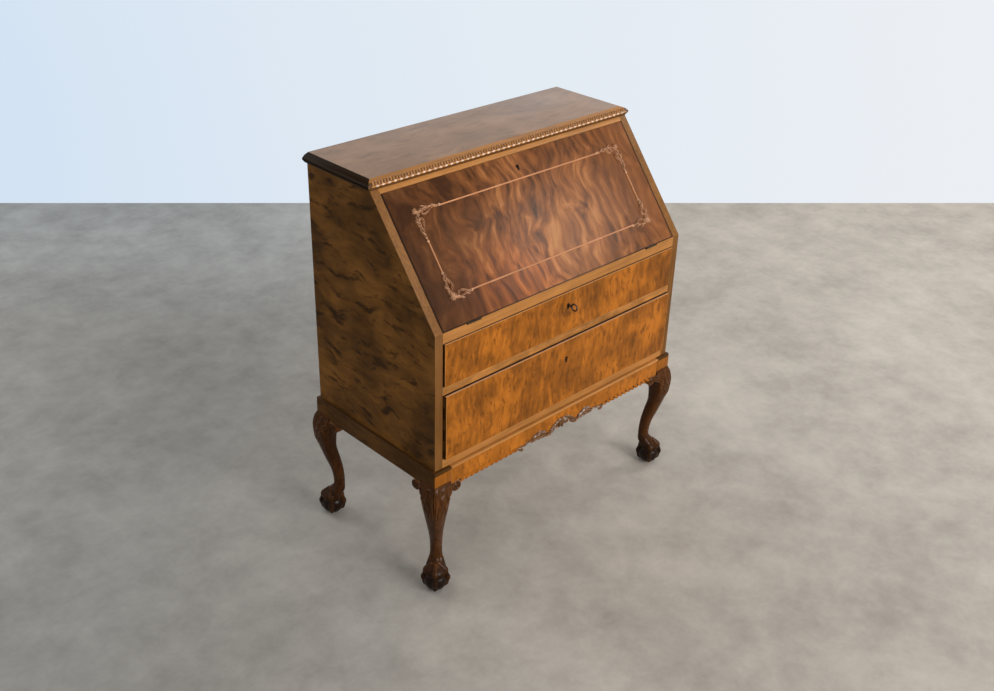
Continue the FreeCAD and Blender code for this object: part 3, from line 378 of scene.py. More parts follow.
def carved_finish(name, row):
    """Stained carving: darker in the hollows with dirt and painted shade, lighter on the ridges with wear and
    painted highlights, and darker near the floor with painted shade.
    """
    f, ground = Finish(name), chosen(row.wood, row.tone)
    hollow, bright = shade(ground, row.hollow), tint(ground, row.bright)
    ridge = f.add("ShaderNodeNewGeometry").outputs["Pointiness"]
    grain = f.drifted(f.place, 14.0, 0.02)
    streaks = f.figure(grain, (130, 130, 26), 4.0, 0.6)
    blotch = f.noise(grain, 22.0, 4.0, 0.6)
    body = f.mix(f.span(streaks, 0.35, 0.68), shade(ground, 0.62), shade(ground, 1.28))
    body = f.mix(f.span(blotch, 0.45, 0.75, 0.0, 0.55), body, shade(ground, 0.5))
    # Dirt with painted shade: darker in the hollows.
    body = f.mix(f.span(ridge, 0.49, 0.5 - 0.10 / row.crisp), body, hollow)
    # Wear with a painted highlight: lighter on the ridges.
    body = f.mix(f.span(ridge, 0.5 + 0.03 / row.crisp, 0.5 + 0.14 / row.crisp, 0.0, 0.8), body, bright)
    # Painted shade: darker towards the floor.
    if row.soot:
        low, high = row.soot
        level = f.span(f.axes(f.place)["Z"], high, low, 0.0, 0.85)
        body = f.mix(f.times(level, f.span(blotch, 0.30, 0.55, 0.45, 1.0)), body, hollow)
    pores = f.figure(f.place, (900, 900, 90))
    return f.done(
        body, f.span(blotch, 0.3, 0.7, row.gloss, row.gloss + 0.16),
        f.relief(f.plus(pores, streaks), 0.00012),
        coat_weight=row.shine * 0.4, coat_roughness=0.12, specular_ior_level=row.shine,
    )


def worn_metal(name, row):
    """Metal that is stained in patches and finely scratched or pitted."""
    f, ground = Finish(name), chosen(row.metal)
    stain = f.noise(f.place, row.patch, 5.0, 0.65)
    body = f.ramp(stain, ((0.35, tint(ground, row.dark)), (row.clear, ground)))
    return f.done(
        body, f.span(stain, 0.35, 0.65, row.dull, row.bright),
        f.relief(f.figure(f.place, row.scratch, row.detail), row.depth), metallic=row.metallic,
    )


Veneer = namedtuple("Veneer", (
    "wood tone turn drift cloud streak fleck flecks contrast gloss shine fleck_tone"
))
Flame = namedtuple("Flame", "wood bright warmth edge seam")
Timber = namedtuple("Timber", "wood tone turn contrast gloss shine", defaults=(0.16,))
DrawerEdge = namedtuple("DrawerEdge", "drawer pale")
Carving = namedtuple("Carving", "wood tone hollow bright gloss shine crisp soot", defaults=(0.3, 1.0, ()))
Metal = namedtuple("Metal", "metal dark clear patch dull bright scratch detail depth metallic")
MAKERS = {
    Veneer: polished_veneer, Flame: flame_veneer, Timber: plain_wood, DrawerEdge: drawer_edge,
    Carving: carved_finish, Metal: worn_metal,
}

# Turns that lay a figure along an axis of the object. The sides' figure lies a little off the level.
ALONG_X, ALONG_Y, ALONG_Z, NEAR_LEVEL = (0, math.pi / 2, 0), (math.pi / 2, 0, 0), (0, 0, 0), (1.6, 0, 0)

FINISHES = {
    # The side and stand veneers are darker than their wood's own tone: painted shade as well as a dark
    # veneer.
    "side_veneer": Veneer(
        "side_wood", 1.0, NEAR_LEVEL, (6.0, 0.09), 7.0, (36, 32, 10), (44, 40, 12),
        0.92, 0.80, 0.42, 0.07, 0.22,
    ),
    "stand_veneer": Veneer(
        "side_wood", 0.62, NEAR_LEVEL, (6.0, 0.05), 7.0, (36, 32, 10), (44, 40, 12),
        0.5, 0.55, 0.42, 0.07, 0.22,
    ),
    "top_veneer": Veneer(
        "top_wood", 1.0, ALONG_X, (4.0, 0.12), 6.0, (34, 30, 7), (60, 50, 9), 0.28, 0.26, 0.34, 0.50, 0.22,
    ),
    "drawer_veneer": Veneer(
        "drawer_wood", 1.0, ALONG_Z, (9.0, 0.05), 11.0, (70, 60, 16), (95, 80, 34),
        0.70, 0.72, 0.30, 0.12, 0.36,
    ),
    "apron_veneer": Veneer(
        "drawer_wood", 1.2, ALONG_Z, (8.0, 0.03), 9.0, (70, 60, 22), (110, 90, 40),
        0.6, 0.50, 0.30, 0.12, 0.34,
    ),
    "rail_wood": Veneer(
        "edging_wood", 0.92, ALONG_X, (6.0, 0.03), 14.0, (80, 80, 9), (120, 120, 20),
        0.4, 0.55, 0.30, 0.12, 0.5,
    ),
    "back_wood": Veneer(
        "back_wood", 1.0, ALONG_Z, (3.0, 0.03), 4.0, (70, 70, 2.0), (120, 120, 5),
        0.35, 0.45, 0.55, 0.10, 0.45,
    ),
    # The last two give the painted shadow lines at the fall's side edges and foot.
    "flame_veneer": Flame(
        "fall_wood", (0.38, 0.155, 0.046), (1.45, 1.20, 0.90), (0.4195, 0.4225), (0.0045, 0.0025),
    ),
    "edging_across": Timber("edging_wood", 1.0, ALONG_X, 0.6, 0.30),
    "edging_upright": Timber("edging_wood", 0.52, ALONG_Z, 0.7, 0.30),
    "bright_edging": Timber("edging_wood", 1.05, ALONG_X, 0.4, 0.16),
    "worn_arris": Timber("edging_wood", 1.12, ALONG_X, 0.5, 0.28),
    # Dark stained wood, also used as painted shade in the gaps beside the drawer fronts and round the fall,
    # and on the post caps.
    "dark_arris": Timber("side_wood", 0.40, ALONG_X, 0.6, 0.32, 0.08),
    # Nearly black: the top's dark stain together with painted shade.
    "dark_moulding": Timber("side_wood", 0.12, ALONG_Y, 0.6, 0.40, 0.05),
    "stile_wood": Timber("edging_wood", 0.42, ALONG_Z, 0.7, 0.30, 0.10),
    # Stained inside, darkened further as painted shade where it shows through the gaps.
    "stained_inside": Timber("edging_wood", 0.42, ALONG_Y, 0.5, 0.5),
    "writing_veneer": Timber("edging_wood", 0.9, ALONG_X, 0.7, 0.34),
    "bead_wood": Timber("bead_wood", 1.0, ALONG_X, 0.4, 0.16, 0.30),
    "post_wood": Timber("drawer_wood", 0.92, ALONG_Z, 0.7, 0.28, 0.12),
    "inner_wood_across": Timber("inner_wood", 1.0, ALONG_X, 0.45, 0.55),
    "inner_wood_deep": Timber("inner_wood", 0.92, ALONG_Y, 0.45, 0.55),
    "upper_drawer_edge": DrawerEdge("upper_drawer", 0.0024),
    "lower_drawer_edge": DrawerEdge("lower_drawer", 0.0042),
    # The carvings' ridge colours carry a painted highlight as well as wear, and their hollows a painted shade
    # as well as dirt.
    "copper_carving": Carving("carved_wood", 1.0, 0.06, (0.80, 0.45, 0.25), 0.12, 0.42, 1.9),
    # Ground between the leaves, darkened as painted shade.
    "band_ground": Carving("edging_wood", 0.28, 0.2, 1.0, 0.40),
    "band_leaf": Carving("edging_wood", 1.05, 0.12, 1.4, 0.20, 0.5),
    # The reels' pale ground and near-white ridges carry a painted highlight as well as their own pale wood.
    "band_bead": Carving("reel_wood", 1.0, 0.25, (0.95, 0.74, 0.58), 0.12, 0.8),
    "apron_carving_wood": Carving("drawer_wood", 0.30, 0.05, (0.44, 0.19, 0.05), 0.22, 0.6, 1.5),
    "gadroon_wood": Carving("drawer_wood", 1.30, 0.08, (0.46, 0.18, 0.03), 0.40, 0.06),
    # Ground between the lobes, darkened as painted shade.
    "gadroon_ground": Carving("drawer_wood", 0.16, 0.3, 1.0, 0.40),
    "stained_leg": Carving("leg_wood", 1.0, 0.07, (0.30, 0.115, 0.030), 0.18, 0.09, 1.3, (0.045, 0.130)),
    # Ball nearly black: dark stain and painted shade.
    "dark_ball": Carving("leg_wood", 0.18, 0.3, 1.0, 0.22, 0.14),
    "aged_brass": Metal("brass", 0.35, 0.6, 60.0, 0.50, 0.26, (60, 900, 900), 2.0, 0.00006, 1.0),
    "dark_bronze": Metal("bronze", 0.35, 0.65, 80.0, 0.52, 0.32, (900, 60, 900), 2.0, 0.00006, 0.9),
    "dark_iron": Metal(
        "iron", (0.05, 0.036, 0.028), 0.65, 90.0, 0.55, 0.34, (700, 700, 700), 3.0, 0.00008, 0.85,
    ),
}


def finish(label):
    """The material of that name, made when first asked for."""
    row = FINISHES[label]
    return bpy.data.materials.get(label) or MAKERS[type(row)](label, row)


def one_sided(f, shown):
    """A stage sheet that is clear when seen from behind or below."""
    behind = f.add("ShaderNodeNewGeometry").outputs["Backfacing"]
    clear = f.add("ShaderNodeBsdfTransparent").outputs[0]
    blend = f.add("ShaderNodeMixShader", {0: behind, 1: shown, 2: clear})
    f.feed(f.tree.nodes["Material Output"].inputs["Surface"], blend.outputs[0])
    return f.material


def floor_finish():
    """Mottled pale floor, in more shade to the left."""
    f, ground = Finish("studio_floor"), chosen("floor")
    near_shade, far_shade = (0.187, 0.197, 0.197), (0.320, 0.357, 0.378)
    cloud = f.noise(f.drifted(f.place, 1.1, 0.2), 1.6, 5.0, 0.6)
    trowel = f.noise(f.drifted(f.place, 6.0, 0.05), 7.0, 8.0, 0.72)
    mottle = f.ramp(f.weighed((cloud, 0.45), (trowel, 0.55)), (
        (0.36, (0.78, 0.78, 0.78)), (0.50, (1.0, 1.0, 1.0)), (0.63, (1.20, 1.20, 1.20)),
    ))
    across = f.axes(f.place)
    leftward = f.calc("SUBTRACT", across["Y"], across["X"])
    away = f.span(f.plus(across["X"], across["Y"]), 1.1, 2.5)
    body = f.mix(f.span(leftward, -0.5, 1.35, 0.0, 0.54), ground, f.mix(away, near_shade, far_shade))
    # Painted light: lighter towards the right.
    body = f.mix(f.span(across["X"], 0.4, 3.0, 0.0, 0.26), body, shade(ground, 1.5))
    body = f.mix(1.0, body, mottle, "MULTIPLY")
    f.done(body, 0.8, f.relief(trowel, 0.001), specular_ior_level=0.1)
    return one_sided(f, f.shader.outputs[0])


def wall_finish():
    """Pale wall that glows with its own colour for camera and glossy rays, a painted light that looks as
    written, bluer to the left, and is only there from the front.
    """
    f = Finish("studio_wall")
    across = f.axes(f.place)
    rightward = f.span(f.calc("SUBTRACT", across["X"], across["Y"]), -3.3, 3.3)
    tone = f.plus(rightward, f.span(f.noise(f.place, 0.35, 2.0), 0.3, 0.7, -0.06, 0.06))
    red, green, blue = bpy.context.scene.escritoire_finishes.wall
    body = f.ramp(tone, (
        (0.05, (red * 0.86, green * 0.925, blue)),
        (0.5, (red, green, blue)),
        (0.95, (red * 1.09, green * 1.04, blue * 1.01)),
    ))
    f.done(body, 0.8)
    # Painted light: the wall glows with its colour for camera rays and in reflections.
    rays = f.add("ShaderNodeLightPath").outputs
    looked_at = f.calc("MAXIMUM", rays["Is Camera Ray"], rays["Is Glossy Ray"])
    glow = f.add("ShaderNodeEmission", {"Color": body, "Strength": 1.0}).outputs[0]
    shown = f.add("ShaderNodeMixShader", {0: looked_at, 1: f.shader.outputs[0], 2: glow})
    return one_sided(f, shown.outputs[0])


def as_piece(name, shape, finishes, crease=38, recalculate=True):
    """An object at the origin from a finished bmesh, sharp where it bends more than crease degrees."""
    if recalculate:
        bmesh.ops.recalc_face_normals(shape, faces=shape.faces)
    mesh = bpy.data.meshes.new(name)
    shape.to_mesh(mesh)
    shape.free()
    for label in finishes:
        mesh.materials.append(finish(label))
    mesh.shade_smooth()
    mesh.set_sharp_from_angle(angle=math.radians(crease))
    piece = bpy.data.objects.new(name, mesh)
    bpy.context.scene.collection.objects.link(piece)
    return piece


def hand_in(piece, node, slot):
    """Let a piece stand for a CAD node and ride on its body."""
    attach(piece, frame["nodes"][node]["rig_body"])
    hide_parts(node)


def settle(piece):
    """Turn a piece's modifiers into plain mesh."""
    bpy.context.view_layer.update()
    evaluated = piece.evaluated_get(bpy.context.evaluated_depsgraph_get())
    mesh = bpy.data.meshes.new_from_object(evaluated)
    piece.modifiers.clear()
    piece.data = mesh


def ease(shape, edges, width, material):
    """Round edges a little."""
    bmesh.ops.bevel(
        shape, geom=edges, offset=width, segments=2, profile=0.6, affect="EDGES",
        clamp_overlap=True, material=material,
    )


def dress(node, slot, ground, faces=(), arris=None, play=0.0):
    """A CAD board or fitting, each side in its own finish, with eased edges where it has an arris.

    Play draws every face in a little, so that a stop and what it stops don't share a face.
    """
    weld, flat, facing = 2e-6, math.radians(0.5), 0.92
    long_edge, sharp = 0.018, math.radians(40)
    shape = bmesh.new()
    shape.from_mesh(frame["nodes"][node].data)
    bmesh.ops.remove_doubles(shape, verts=shape.verts, dist=weld)
    bmesh.ops.dissolve_limit(shape, angle_limit=flat, verts=shape.verts, edges=shape.edges)
    shape.normal_update()
    finishes = list(dict.fromkeys([ground, *(label for _, label in faces), arris or ground]))
    for face in shape.faces:
        face.material_index = 0
        for direction, label in faces:
            if face.normal.dot(direction) > facing:
                face.material_index = finishes.index(label)
    if arris:
        edges = [
            edge for edge in shape.edges
            if len(edge.link_faces) == 2 and edge.is_convex
            and edge.calc_length() > long_edge and edge.calc_face_angle() > sharp
        ]
        ease(shape, edges, bpy.context.scene.escritoire_sizes.edge_ease, finishes.index(arris))
    if play:
        shape.normal_update()
        for vert in shape.verts:
            vert.co -= vert.normal * play
    piece = as_piece(node + "_finished", shape, finishes, recalculate=False)
    if arris:
        # The broad faces keep their own normals, so that only the eased edges catch the light.
        piece.modifiers.new("Even faces", "WEIGHTED_NORMAL").keep_sharp = True
        settle(piece)
    hand_in(piece, node, slot)
    return piece


def ripple(t):
    """A wave that is 0 at every whole number and 1 half way between."""
    return 0.5 - 0.5 * math.cos(FULL_TURN * t)


def circle(count):
    """Even points of a circle of radius 1."""
    return [(math.cos(FULL_TURN * k / count), math.sin(FULL_TURN * k / count)) for k in range(count)]


def smooth_path(knots, count):
    """Points of an even curve through knots of any length, as tuples."""
    last = len(knots) - 1
    points = []
    for step in range(count + 1):
        at = step / count * last
        i = min(int(at), last - 1)
        t = at - i
        around = (knots[max(0, min(last, k))] for k in (i - 1, i, i + 1, i + 2))
        points.append(tuple(
            0.5 * (
                2 * q + (r - p) * t + (2 * p - 5 * q + 4 * r - s) * t ** 2
                + (3 * q - p - 3 * r + s) * t ** 3
            )
            for p, q, r, s in zip(*around)
        ))
    return points


def heading(path, number):
    """The angle at which a path runs past one of its points."""
    before, after = path[max(number - 1, 0)], path[min(number + 1, len(path) - 1)]
    return math.atan2(after[1] - before[1], after[0] - before[0])


def skin(shape, rings, material=0):
    """A closed shell over a row of closed rings."""
    rows = [[shape.verts.new(point) for point in ring] for ring in rings]
    faces = [shape.faces.new(rows[0]), shape.faces.new(rows[-1])]
    for low, high in zip(rows, rows[1:]):
        for i, corner in enumerate(low):
            j = (i + 1) % len(low)
            faces.append(shape.faces.new((corner, low[j], high[j], high[i])))
    for face in faces:
        face.material_index = material


def carve_leaf(shape, spot, knots, relief, teeth=0, veins=0.0, reeds=1, steps=28, sunk=1.0):
    """A carved leaf or scroll: knots give across, up and half width in millimetres.

    Teeth notch its edges, veins slant over it, and reeds divide it along its length.
    """
    strips, thinnest = 4, 0.25
    tooth_depth, reed_depth, vein_depth, vein_slant = 0.32, 0.42, 0.40, 1.1
    path = smooth_path(knots, steps)
    widest = max(knot[2] for knot in knots)
    rings = []
    for number, (a, b, half) in enumerate(path):
        t = number / steps
        lean = heading(path, number)
        side_a, side_b = -math.sin(lean), math.cos(lean)
        wide = max(half * (1 - tooth_depth * ripple(teeth * t)), thinnest)
        crest = relief * min(1.0, 0.35 + 0.75 * half / widest)
        ring = []
        for step in range(-strips, strips + 1):
            u = step / strips
            height = math.sqrt(max(0.0, 1 - u * u))
            if reeds > 1:
                height *= 1 - reed_depth * ripple(reeds * (u + 1) / 2)
            if veins:
                height *= 1 - vein_depth * ripple(veins * t - vein_slant * abs(u))
            ring.append(spot(a + side_a * u * wide, b + side_b * u * wide, crest * height))
        for end in (wide, -wide):
            ring.append(spot(a + side_a * end, b + side_b * end, -sunk))
        rings.append(ring)
    skin(shape, rings)


def carve_bead(shape, spot, a, b, radius, rise=0.75):
    """A small rounded knob sunk by part into its ground."""
    levels, around, lift = 6, 12, 0.35
    rings = []
    for level in range(levels + 1):
        lean = math.pi * (0.06 + 0.88 * level / levels) - math.pi / 2
        reach, height = radius * math.cos(lean), radius * (math.sin(lean) * rise + lift)
        rings.append([spot(a + reach * c, b + reach * s, height) for c, s in circle(around)])
    skin(shape, rings)


def on_fall(side):
    """Millimetres across, up the slope and out of the fall, on one side of its middle."""
    return lambda a, b, h: FALL @ Vector((side * a * MM, -h * MM, b * MM))


def on_apron(side):
    """Millimetres across, up from the floor and out of the front apron."""
    return lambda a, b, h: Vector((side * a * MM, STAND_FRONT - h * MM, b * MM))


def add_block(shape, low, high, width, material=0):
    """A block between two corners, with edges eased by a width."""
    low, high = Vector(low), Vector(high)
    verts = bmesh.ops.create_cube(shape, size=1.0)["verts"]
    for vert in verts:
        vert.co = vert.co * (high - low) + (low + high) / 2
    faces = dict.fromkeys(face for vert in verts for face in vert.link_faces)
    for face in faces:
        face.material_index = material
    ease(shape, list(dict.fromkeys(edge for face in faces for edge in face.edges)), width, material)


def row_tree():
    """Node group that makes a row of one carved unit in one finish."""
    name = "Row of carved units"
    if name in bpy.data.node_groups:
        return bpy.data.node_groups[name]
    tree = bpy.data.node_groups.new(name, "GeometryNodeTree")
    for label, kind in (
        ("Unit", "Object"), ("Count", "Int"), ("Start", "Vector"), ("Step", "Vector"), ("Finish", "Material"),
    ):
        tree.interface.new_socket(label, in_out="INPUT", socket_type="NodeSocket" + kind)
    tree.interface.new_socket("Row", in_out="OUTPUT", socket_type="NodeSocketGeometry")
    add = tree.nodes.new
    given, result = add("NodeGroupInput"), add("NodeGroupOutput")
    line, unit = add("GeometryNodeMeshLine"), add("GeometryNodeObjectInfo")
    repeat, real = add("GeometryNodeInstanceOnPoints"), add("GeometryNodeRealizeInstances")
    coat = add("GeometryNodeSetMaterial")
    for source, output, target, socket in (
        (given, "Count", line, "Count"),
        (given, "Start", line, "Start Location"),
        (given, "Step", line, "Offset"),
        (given, "Unit", unit, "Object"),
        (line, "Mesh", repeat, "Points"),
        (unit, "Geometry", repeat, "Instance"),
        (repeat, "Instances", real, "Geometry"),
        (real, "Geometry", coat, "Geometry"),
        (given, "Finish", coat, "Material"),
        (coat, "Geometry", result, "Row"),
    ):
        tree.links.new(source.outputs[output], target.inputs[socket])
    return tree


def add_row(shape, unit, count, start, step, label, material):
    """Add a row of one unit to a shape and drop the unit."""
    tree = row_tree()
    row = bpy.data.objects.new("Carved row", bpy.data.meshes.new("Carved row"))
    bpy.context.scene.collection.objects.link(row)
    modifier = row.modifiers.new("Row", "NODES")
    modifier.node_group = tree
    settings = {"Unit": unit, "Count": count, "Start": start, "Step": step, "Finish": finish(label)}
    for socket in tree.interface.items_tree:
        if socket.in_out == "INPUT":
            modifier[socket.identifier] = settings[socket.name]
    settle(row)
    for polygon in row.data.polygons:
        polygon.material_index = material
    shape.from_mesh(row.data)
    for used in (row, unit):
        bpy.data.objects.remove(used)


class EscritoireStep(bpy.types.Operator):
    """A step in making the escritoire."""

    bl_options = {"REGISTER", "UNDO"}


class ESCRITOIRE_OT_case(EscritoireStep):
    """Sides, back, writing board and rails of the case"""

    bl_idname = "escritoire.case"
    bl_label = "Case"

    def execute(self, context):
        for node, outward in (("left_side", LEFT), ("right_side", RIGHT)):
            dress(node, "case_veneer", "stained_inside", (
                (outward, "side_veneer"), (FRONT, "stile_wood"), (SLOPE_OUT, "edging_upright"),
                (BACK, "dark_arris"),
            ), "edging_upright")
        dress("back_panel", "inner_wood", "inner_wood_across", ((BACK, "back_wood"),), "back_wood")
        dress(
            "writing_board", "edging", "inner_wood_across",
            ((FRONT, "edging_across"), (UP, "writing_veneer")), "worn_arris",
        )
        for node, label in (("middle_rail", "rail_wood"), ("bottom_board", "edging_across")):
            dress(node, "edging", "inner_wood_across", ((FRONT, label),), "worn_arris")
        dress("top_rail", "edging", "edging_across", arris="worn_arris")
        dress("drawer_runners", "inner_wood", "inner_wood_deep", arris="inner_wood_deep")
        dress("drawer_stops", "inner_wood", "inner_wood_deep", arris="inner_wood_deep", play=0.0003)
        return {"FINISHED"}


class ESCRITOIRE_OT_top(EscritoireStep):
    """Top board with the leaf band and the reeled bead carved along its front"""

    bl_idname = "escritoire.top"
    bl_label = "Top"

    # The band stops short of the ends. Its beads and the rod behind them lie below the top face.
    END_MARGIN, BEAD_DROP, BEAD_SET, ROD_SET, ROD_RADIUS = 0.010, 0.0136, 0.0008, 0.0004, 0.0019
    # Back from the front edge and down from the top face, along the middle of a leaf.
    LEAF_LINE = ((0.0002, 0.0112), (0.0034, 0.0078), (0.0070, 0.0045), (0.0096, 0.0034))

    def execute(self, context):
        sizes = context.scene.escritoire_sizes
        board = dress("top_board", "case_veneer", "dark_moulding", ((UP, "top_veneer"),))
        self.front_finishes(board.data)
        low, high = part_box("top_board")
        front, top, half = low.y, high.z, high.x - self.END_MARGIN
        count = int(2 * half / sizes.leaf_pitch)
        pairs, step = count // 2, Vector((sizes.leaf_pitch, 0, 0))
        shape = bmesh.new()
        line = front + self.ROD_SET
        skin(shape, [self.bead_ring(x, line, top, self.ROD_RADIUS, 1.0, 12) for x in (-half, half)])
        leaf, reel = self.leaf(sizes, front, top), self.reel(sizes, front, top)
        add_row(shape, leaf, count, step * ((1 - count) / 2), step, "band_leaf", 0)
        add_row(shape, reel, pairs, step * (1 - pairs), step * 2, "band_bead", 1)
        band = as_piece("top_leaf_band", shape, ["band_leaf", "band_bead"])
        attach(band, "case")
        return {"FINISHED"}

    def front_finishes(self, mesh):
        """Ground behind the leaves darkened as painted shade, a light strip above them, and ends dark with
        stain and painted shade.
        """
        slopes, end_slope = ((-0.5, "band_ground"), (-0.25, "edging_across")), 0.3
        for _, label in slopes:
            mesh.materials.append(finish(label))
        for polygon in mesh.polygons:
            if abs(polygon.normal.x) > end_slope:
                polygon.material_index = 0
                continue
            for steepness, label in slopes:
                if polygon.normal.y < steepness:
                    polygon.material_index = mesh.materials.find(label)
                    break

    def leaf(self, sizes, front, top):
        """One leaf of the band, leaning a little, with a vein down its middle."""
        steps, strips = 6, 3
        slant, vein, root = 0.0034, 0.0010, 0.0016
        line = [(front + back, top - drop) for back, drop in self.LEAF_LINE]
        rings = []
        for number, (y, z) in enumerate(smooth_path(line, steps)):
            t = number / steps
            wide = sizes.leaf_pitch * 0.35 * math.sin(math.pi * (0.16 + 0.80 * t)) ** 0.8
            crest = sizes.leaf_relief * math.sin(math.pi * (0.10 + 0.8 * t))
            lean = slant * (t - 0.5)
            ring = []
            for step in range(-strips, strips + 1):
                u = step / strips
                rise = crest * (1 - u * u) - vein * math.exp(-(u / 0.3) ** 2)
                ring.append(Vector((lean + u * wide, y - rise * 0.66, z + rise * 0.75)))
            ring += [Vector((lean + end, y + root, z - root)) for end in (wide, -wide)]
            rings.append(ring)
        shape = bmesh.new()
        skin(shape, rings)
        return as_piece("band_leaf_unit", shape, ["band_leaf"])

    def reel(self, sizes, front, top):
        """One long bead of the line under the leaves."""
        steps = 6
        rings = []
        for number in range(steps + 1):
            t = number / steps
            swell = 0.0039 * math.sin(math.pi * (0.06 + 0.88 * t)) ** 0.55
            x = sizes.leaf_pitch * 0.62 * (2 * t - 1)
            rings.append(self.bead_ring(x, front + self.BEAD_SET, top, swell, 0.8, 10))
        shape = bmesh.new()
        skin(shape, rings)
        return as_piece("band_reel_unit", shape, ["band_bead"])

    def bead_ring(self, x, y, top, radius, squash, count):
        """A ring round the line of the beads."""
        z = top - self.BEAD_DROP
        return [Vector((x, y + radius * c, z + squash * radius * s)) for c, s in circle(count)]


class ESCRITOIRE_OT_fall(EscritoireStep):
    """Flame veneered fall and the bead frame on it"""

    bl_idname = "escritoire.fall"
    bl_label = "Fall"

    SLIM_SHARE, SLIM_REACH = 0.68, 1.05 * FRAME_BEAD

    def execute(self, context):
        # The fall's edges take the dark stained finish, which paints the shade in the gap round the fall.
        dress(
            "fall_panel", "fall_veneer", "dark_arris",
            ((SLOPE_OUT, "flame_veneer"), (-SLOPE_OUT, "writing_veneer")), "dark_arris",
        )
        bead = dress("fall_bead_frame", "carved_wood", "bead_wood")
        self.slim(bead.data)
        return {"FINISHED"}

    def slim(self, mesh):
        """Draw the frame's bars in towards their middle lines, as slim as they look."""
        local = FALL.inverted()
        spots = [local @ vert.co for vert in mesh.vertices]
        for axis in (0, 2):
            places = [spot[axis] for spot in spots]
            for line in (min(places) + FRAME_BEAD, max(places) - FRAME_BEAD):
                for spot in spots:
                    if abs(spot[axis] - line) < self.SLIM_REACH:
                        spot[axis] = line + (spot[axis] - line) * self.SLIM_SHARE
        for vert, spot in zip(mesh.vertices, spots):
            vert.co = FALL @ spot


class ESCRITOIRE_OT_fall_carvings(EscritoireStep):
    """Leaf scrolls at the four corners of the bead frame"""

    bl_idname = "escritoire.fall_carvings"
    bl_label = "Fall carvings"

    # Across and out from the frame's corner and half width, then relief, teeth, veins and reeds.
    HIGH_ARM = (
        (((-75, 0, 1.6), (-64, 0.4, 2.7), (-52, 1.8, 4.0), (-38, 3.2, 5.2), (-24, 2.6, 5.4), (-12, 0, 4.8),
          (-4, -4, 3.2)), 1.0, 5, 5.0, 2),
        (((-46, -1, 1.8), (-36, -6.0, 2.6), (-26, -9.5, 2.8), (-18, -8.0, 2.6), (-19, -3.5, 1.8)),
         0.9, 0, 2.0, 1),
        (((-60, 2, 1.6), (-54, 5.0, 2.2), (-50, 8.0, 0.8)), 0.7, 0, 0.0, 1),
        (((-30, 6, 2.0), (-24, 9.0, 2.4), (-19, 11.5, 0.8)), 0.7, 0, 0.0, 1),
    )
    LOW_ARM = (
        (((-61, 0, 1.6), (-53, 0.4, 3.2), (-45, 0, 3.2), (-36, 2.8, 2.8), (-26, 5.0, 3.0), (-15, 4.4, 3.6),
          (-6, 1.5, 4.2), (1, -3, 3.2)), 1.0, 0, 4.0, 1),
        (((-47, -1, 1.8), (-39, -5.5, 2.6), (-30, -9.0, 2.8), (-21, -7.5, 2.6), (-15, -1, 2.4),
          (-11, 3, 1.8)), 0.95, 0, 3.0, 1),
        (((-40, 3, 1.6), (-45, 6.0, 2.0), (-51, 7.5, 0.8)), 0.7, 0, 0.0, 1),
        (((-21, 6.5, 1.8), (-26, 10.0, 2.2), (-32, 11.5, 0.8)), 0.7, 0, 0.0, 1),
    )
    # Degrees from the outward diagonal and reach, then share of the reach and half width along a tip.
    TIPS = ((0, 11.5), (-42, 10.5), (42, 10.5), (160, 13.0), (200, 13.0))
    TIP_LINE = ((-0.2, 2.2), (0.3, 3.8), (0.7, 3.2), (1.0, 0.8))
    # In from the end of an arm and radius.
    END_BEADS = ((1, 3.9), (9, 3.1))

    def execute(self, context):
        relief = context.scene.escritoire_sizes.scroll_relief / MM
        shape = bmesh.new()
        low, high = self.frame_corners()
        for side in (-1, 1):
            self.corner(shape, on_fall(side), high, self.HIGH_ARM, 1, relief)
            self.corner(shape, on_fall(side), low, self.LOW_ARM, -1, relief)
        piece = as_piece("fall_corner_scrolls", shape, ["copper_carving"], crease=60)
        hand_in(piece, "fall_corner_carvings", "carved_wood")
        return {"FINISHED"}

    def frame_corners(self):
        """Across and up of the frame's low and high right corners, in millimetres."""
        low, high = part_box("fall_bead_frame")
        local = FALL.inverted()
        foot, head = ((local @ Vector((0, end.y, end.z))).z for end in (low, high))
        across = (high.x - FRAME_BEAD) / MM
        return (across, (foot + FRAME_BEAD) / MM), (across, (head - FRAME_BEAD) / MM)

    def corner(self, shape, spot, at, arms, way, relief):
        """Two like arms, a fan of leaf tips between them and a knob in the middle."""

        def middle(a, b, h):
            return spot(at[0] + a, at[1] + b * way, h)

        def turned(a, b, h):
            return middle(b, a, h)

        for place in (middle, turned):
            for knots, height, teeth, veins, reeds in arms:
                steps = 40 if teeth else 26
                carve_leaf(shape, place, knots, relief * height, teeth, veins, reeds, steps)
            end = arms[0][0][0][0]
            for step, radius in self.END_BEADS:
                carve_bead(shape, place, end + step, 0.3, radius)
            a, b, half = arms[1][0][-1]
            carve_bead(shape, place, a, b, half * 1.5)
        for turn, reach in self.TIPS:
            lean = math.radians(45 + turn)
            a, b = reach * math.cos(lean), reach * math.sin(lean)
            tip = [(k * a, k * b, half) for k, half in self.TIP_LINE]
            carve_leaf(shape, middle, tip, relief * 0.95, veins=1.5, steps=14)
        carve_bead(shape, middle, -1, -1, 4.2, 1.1)


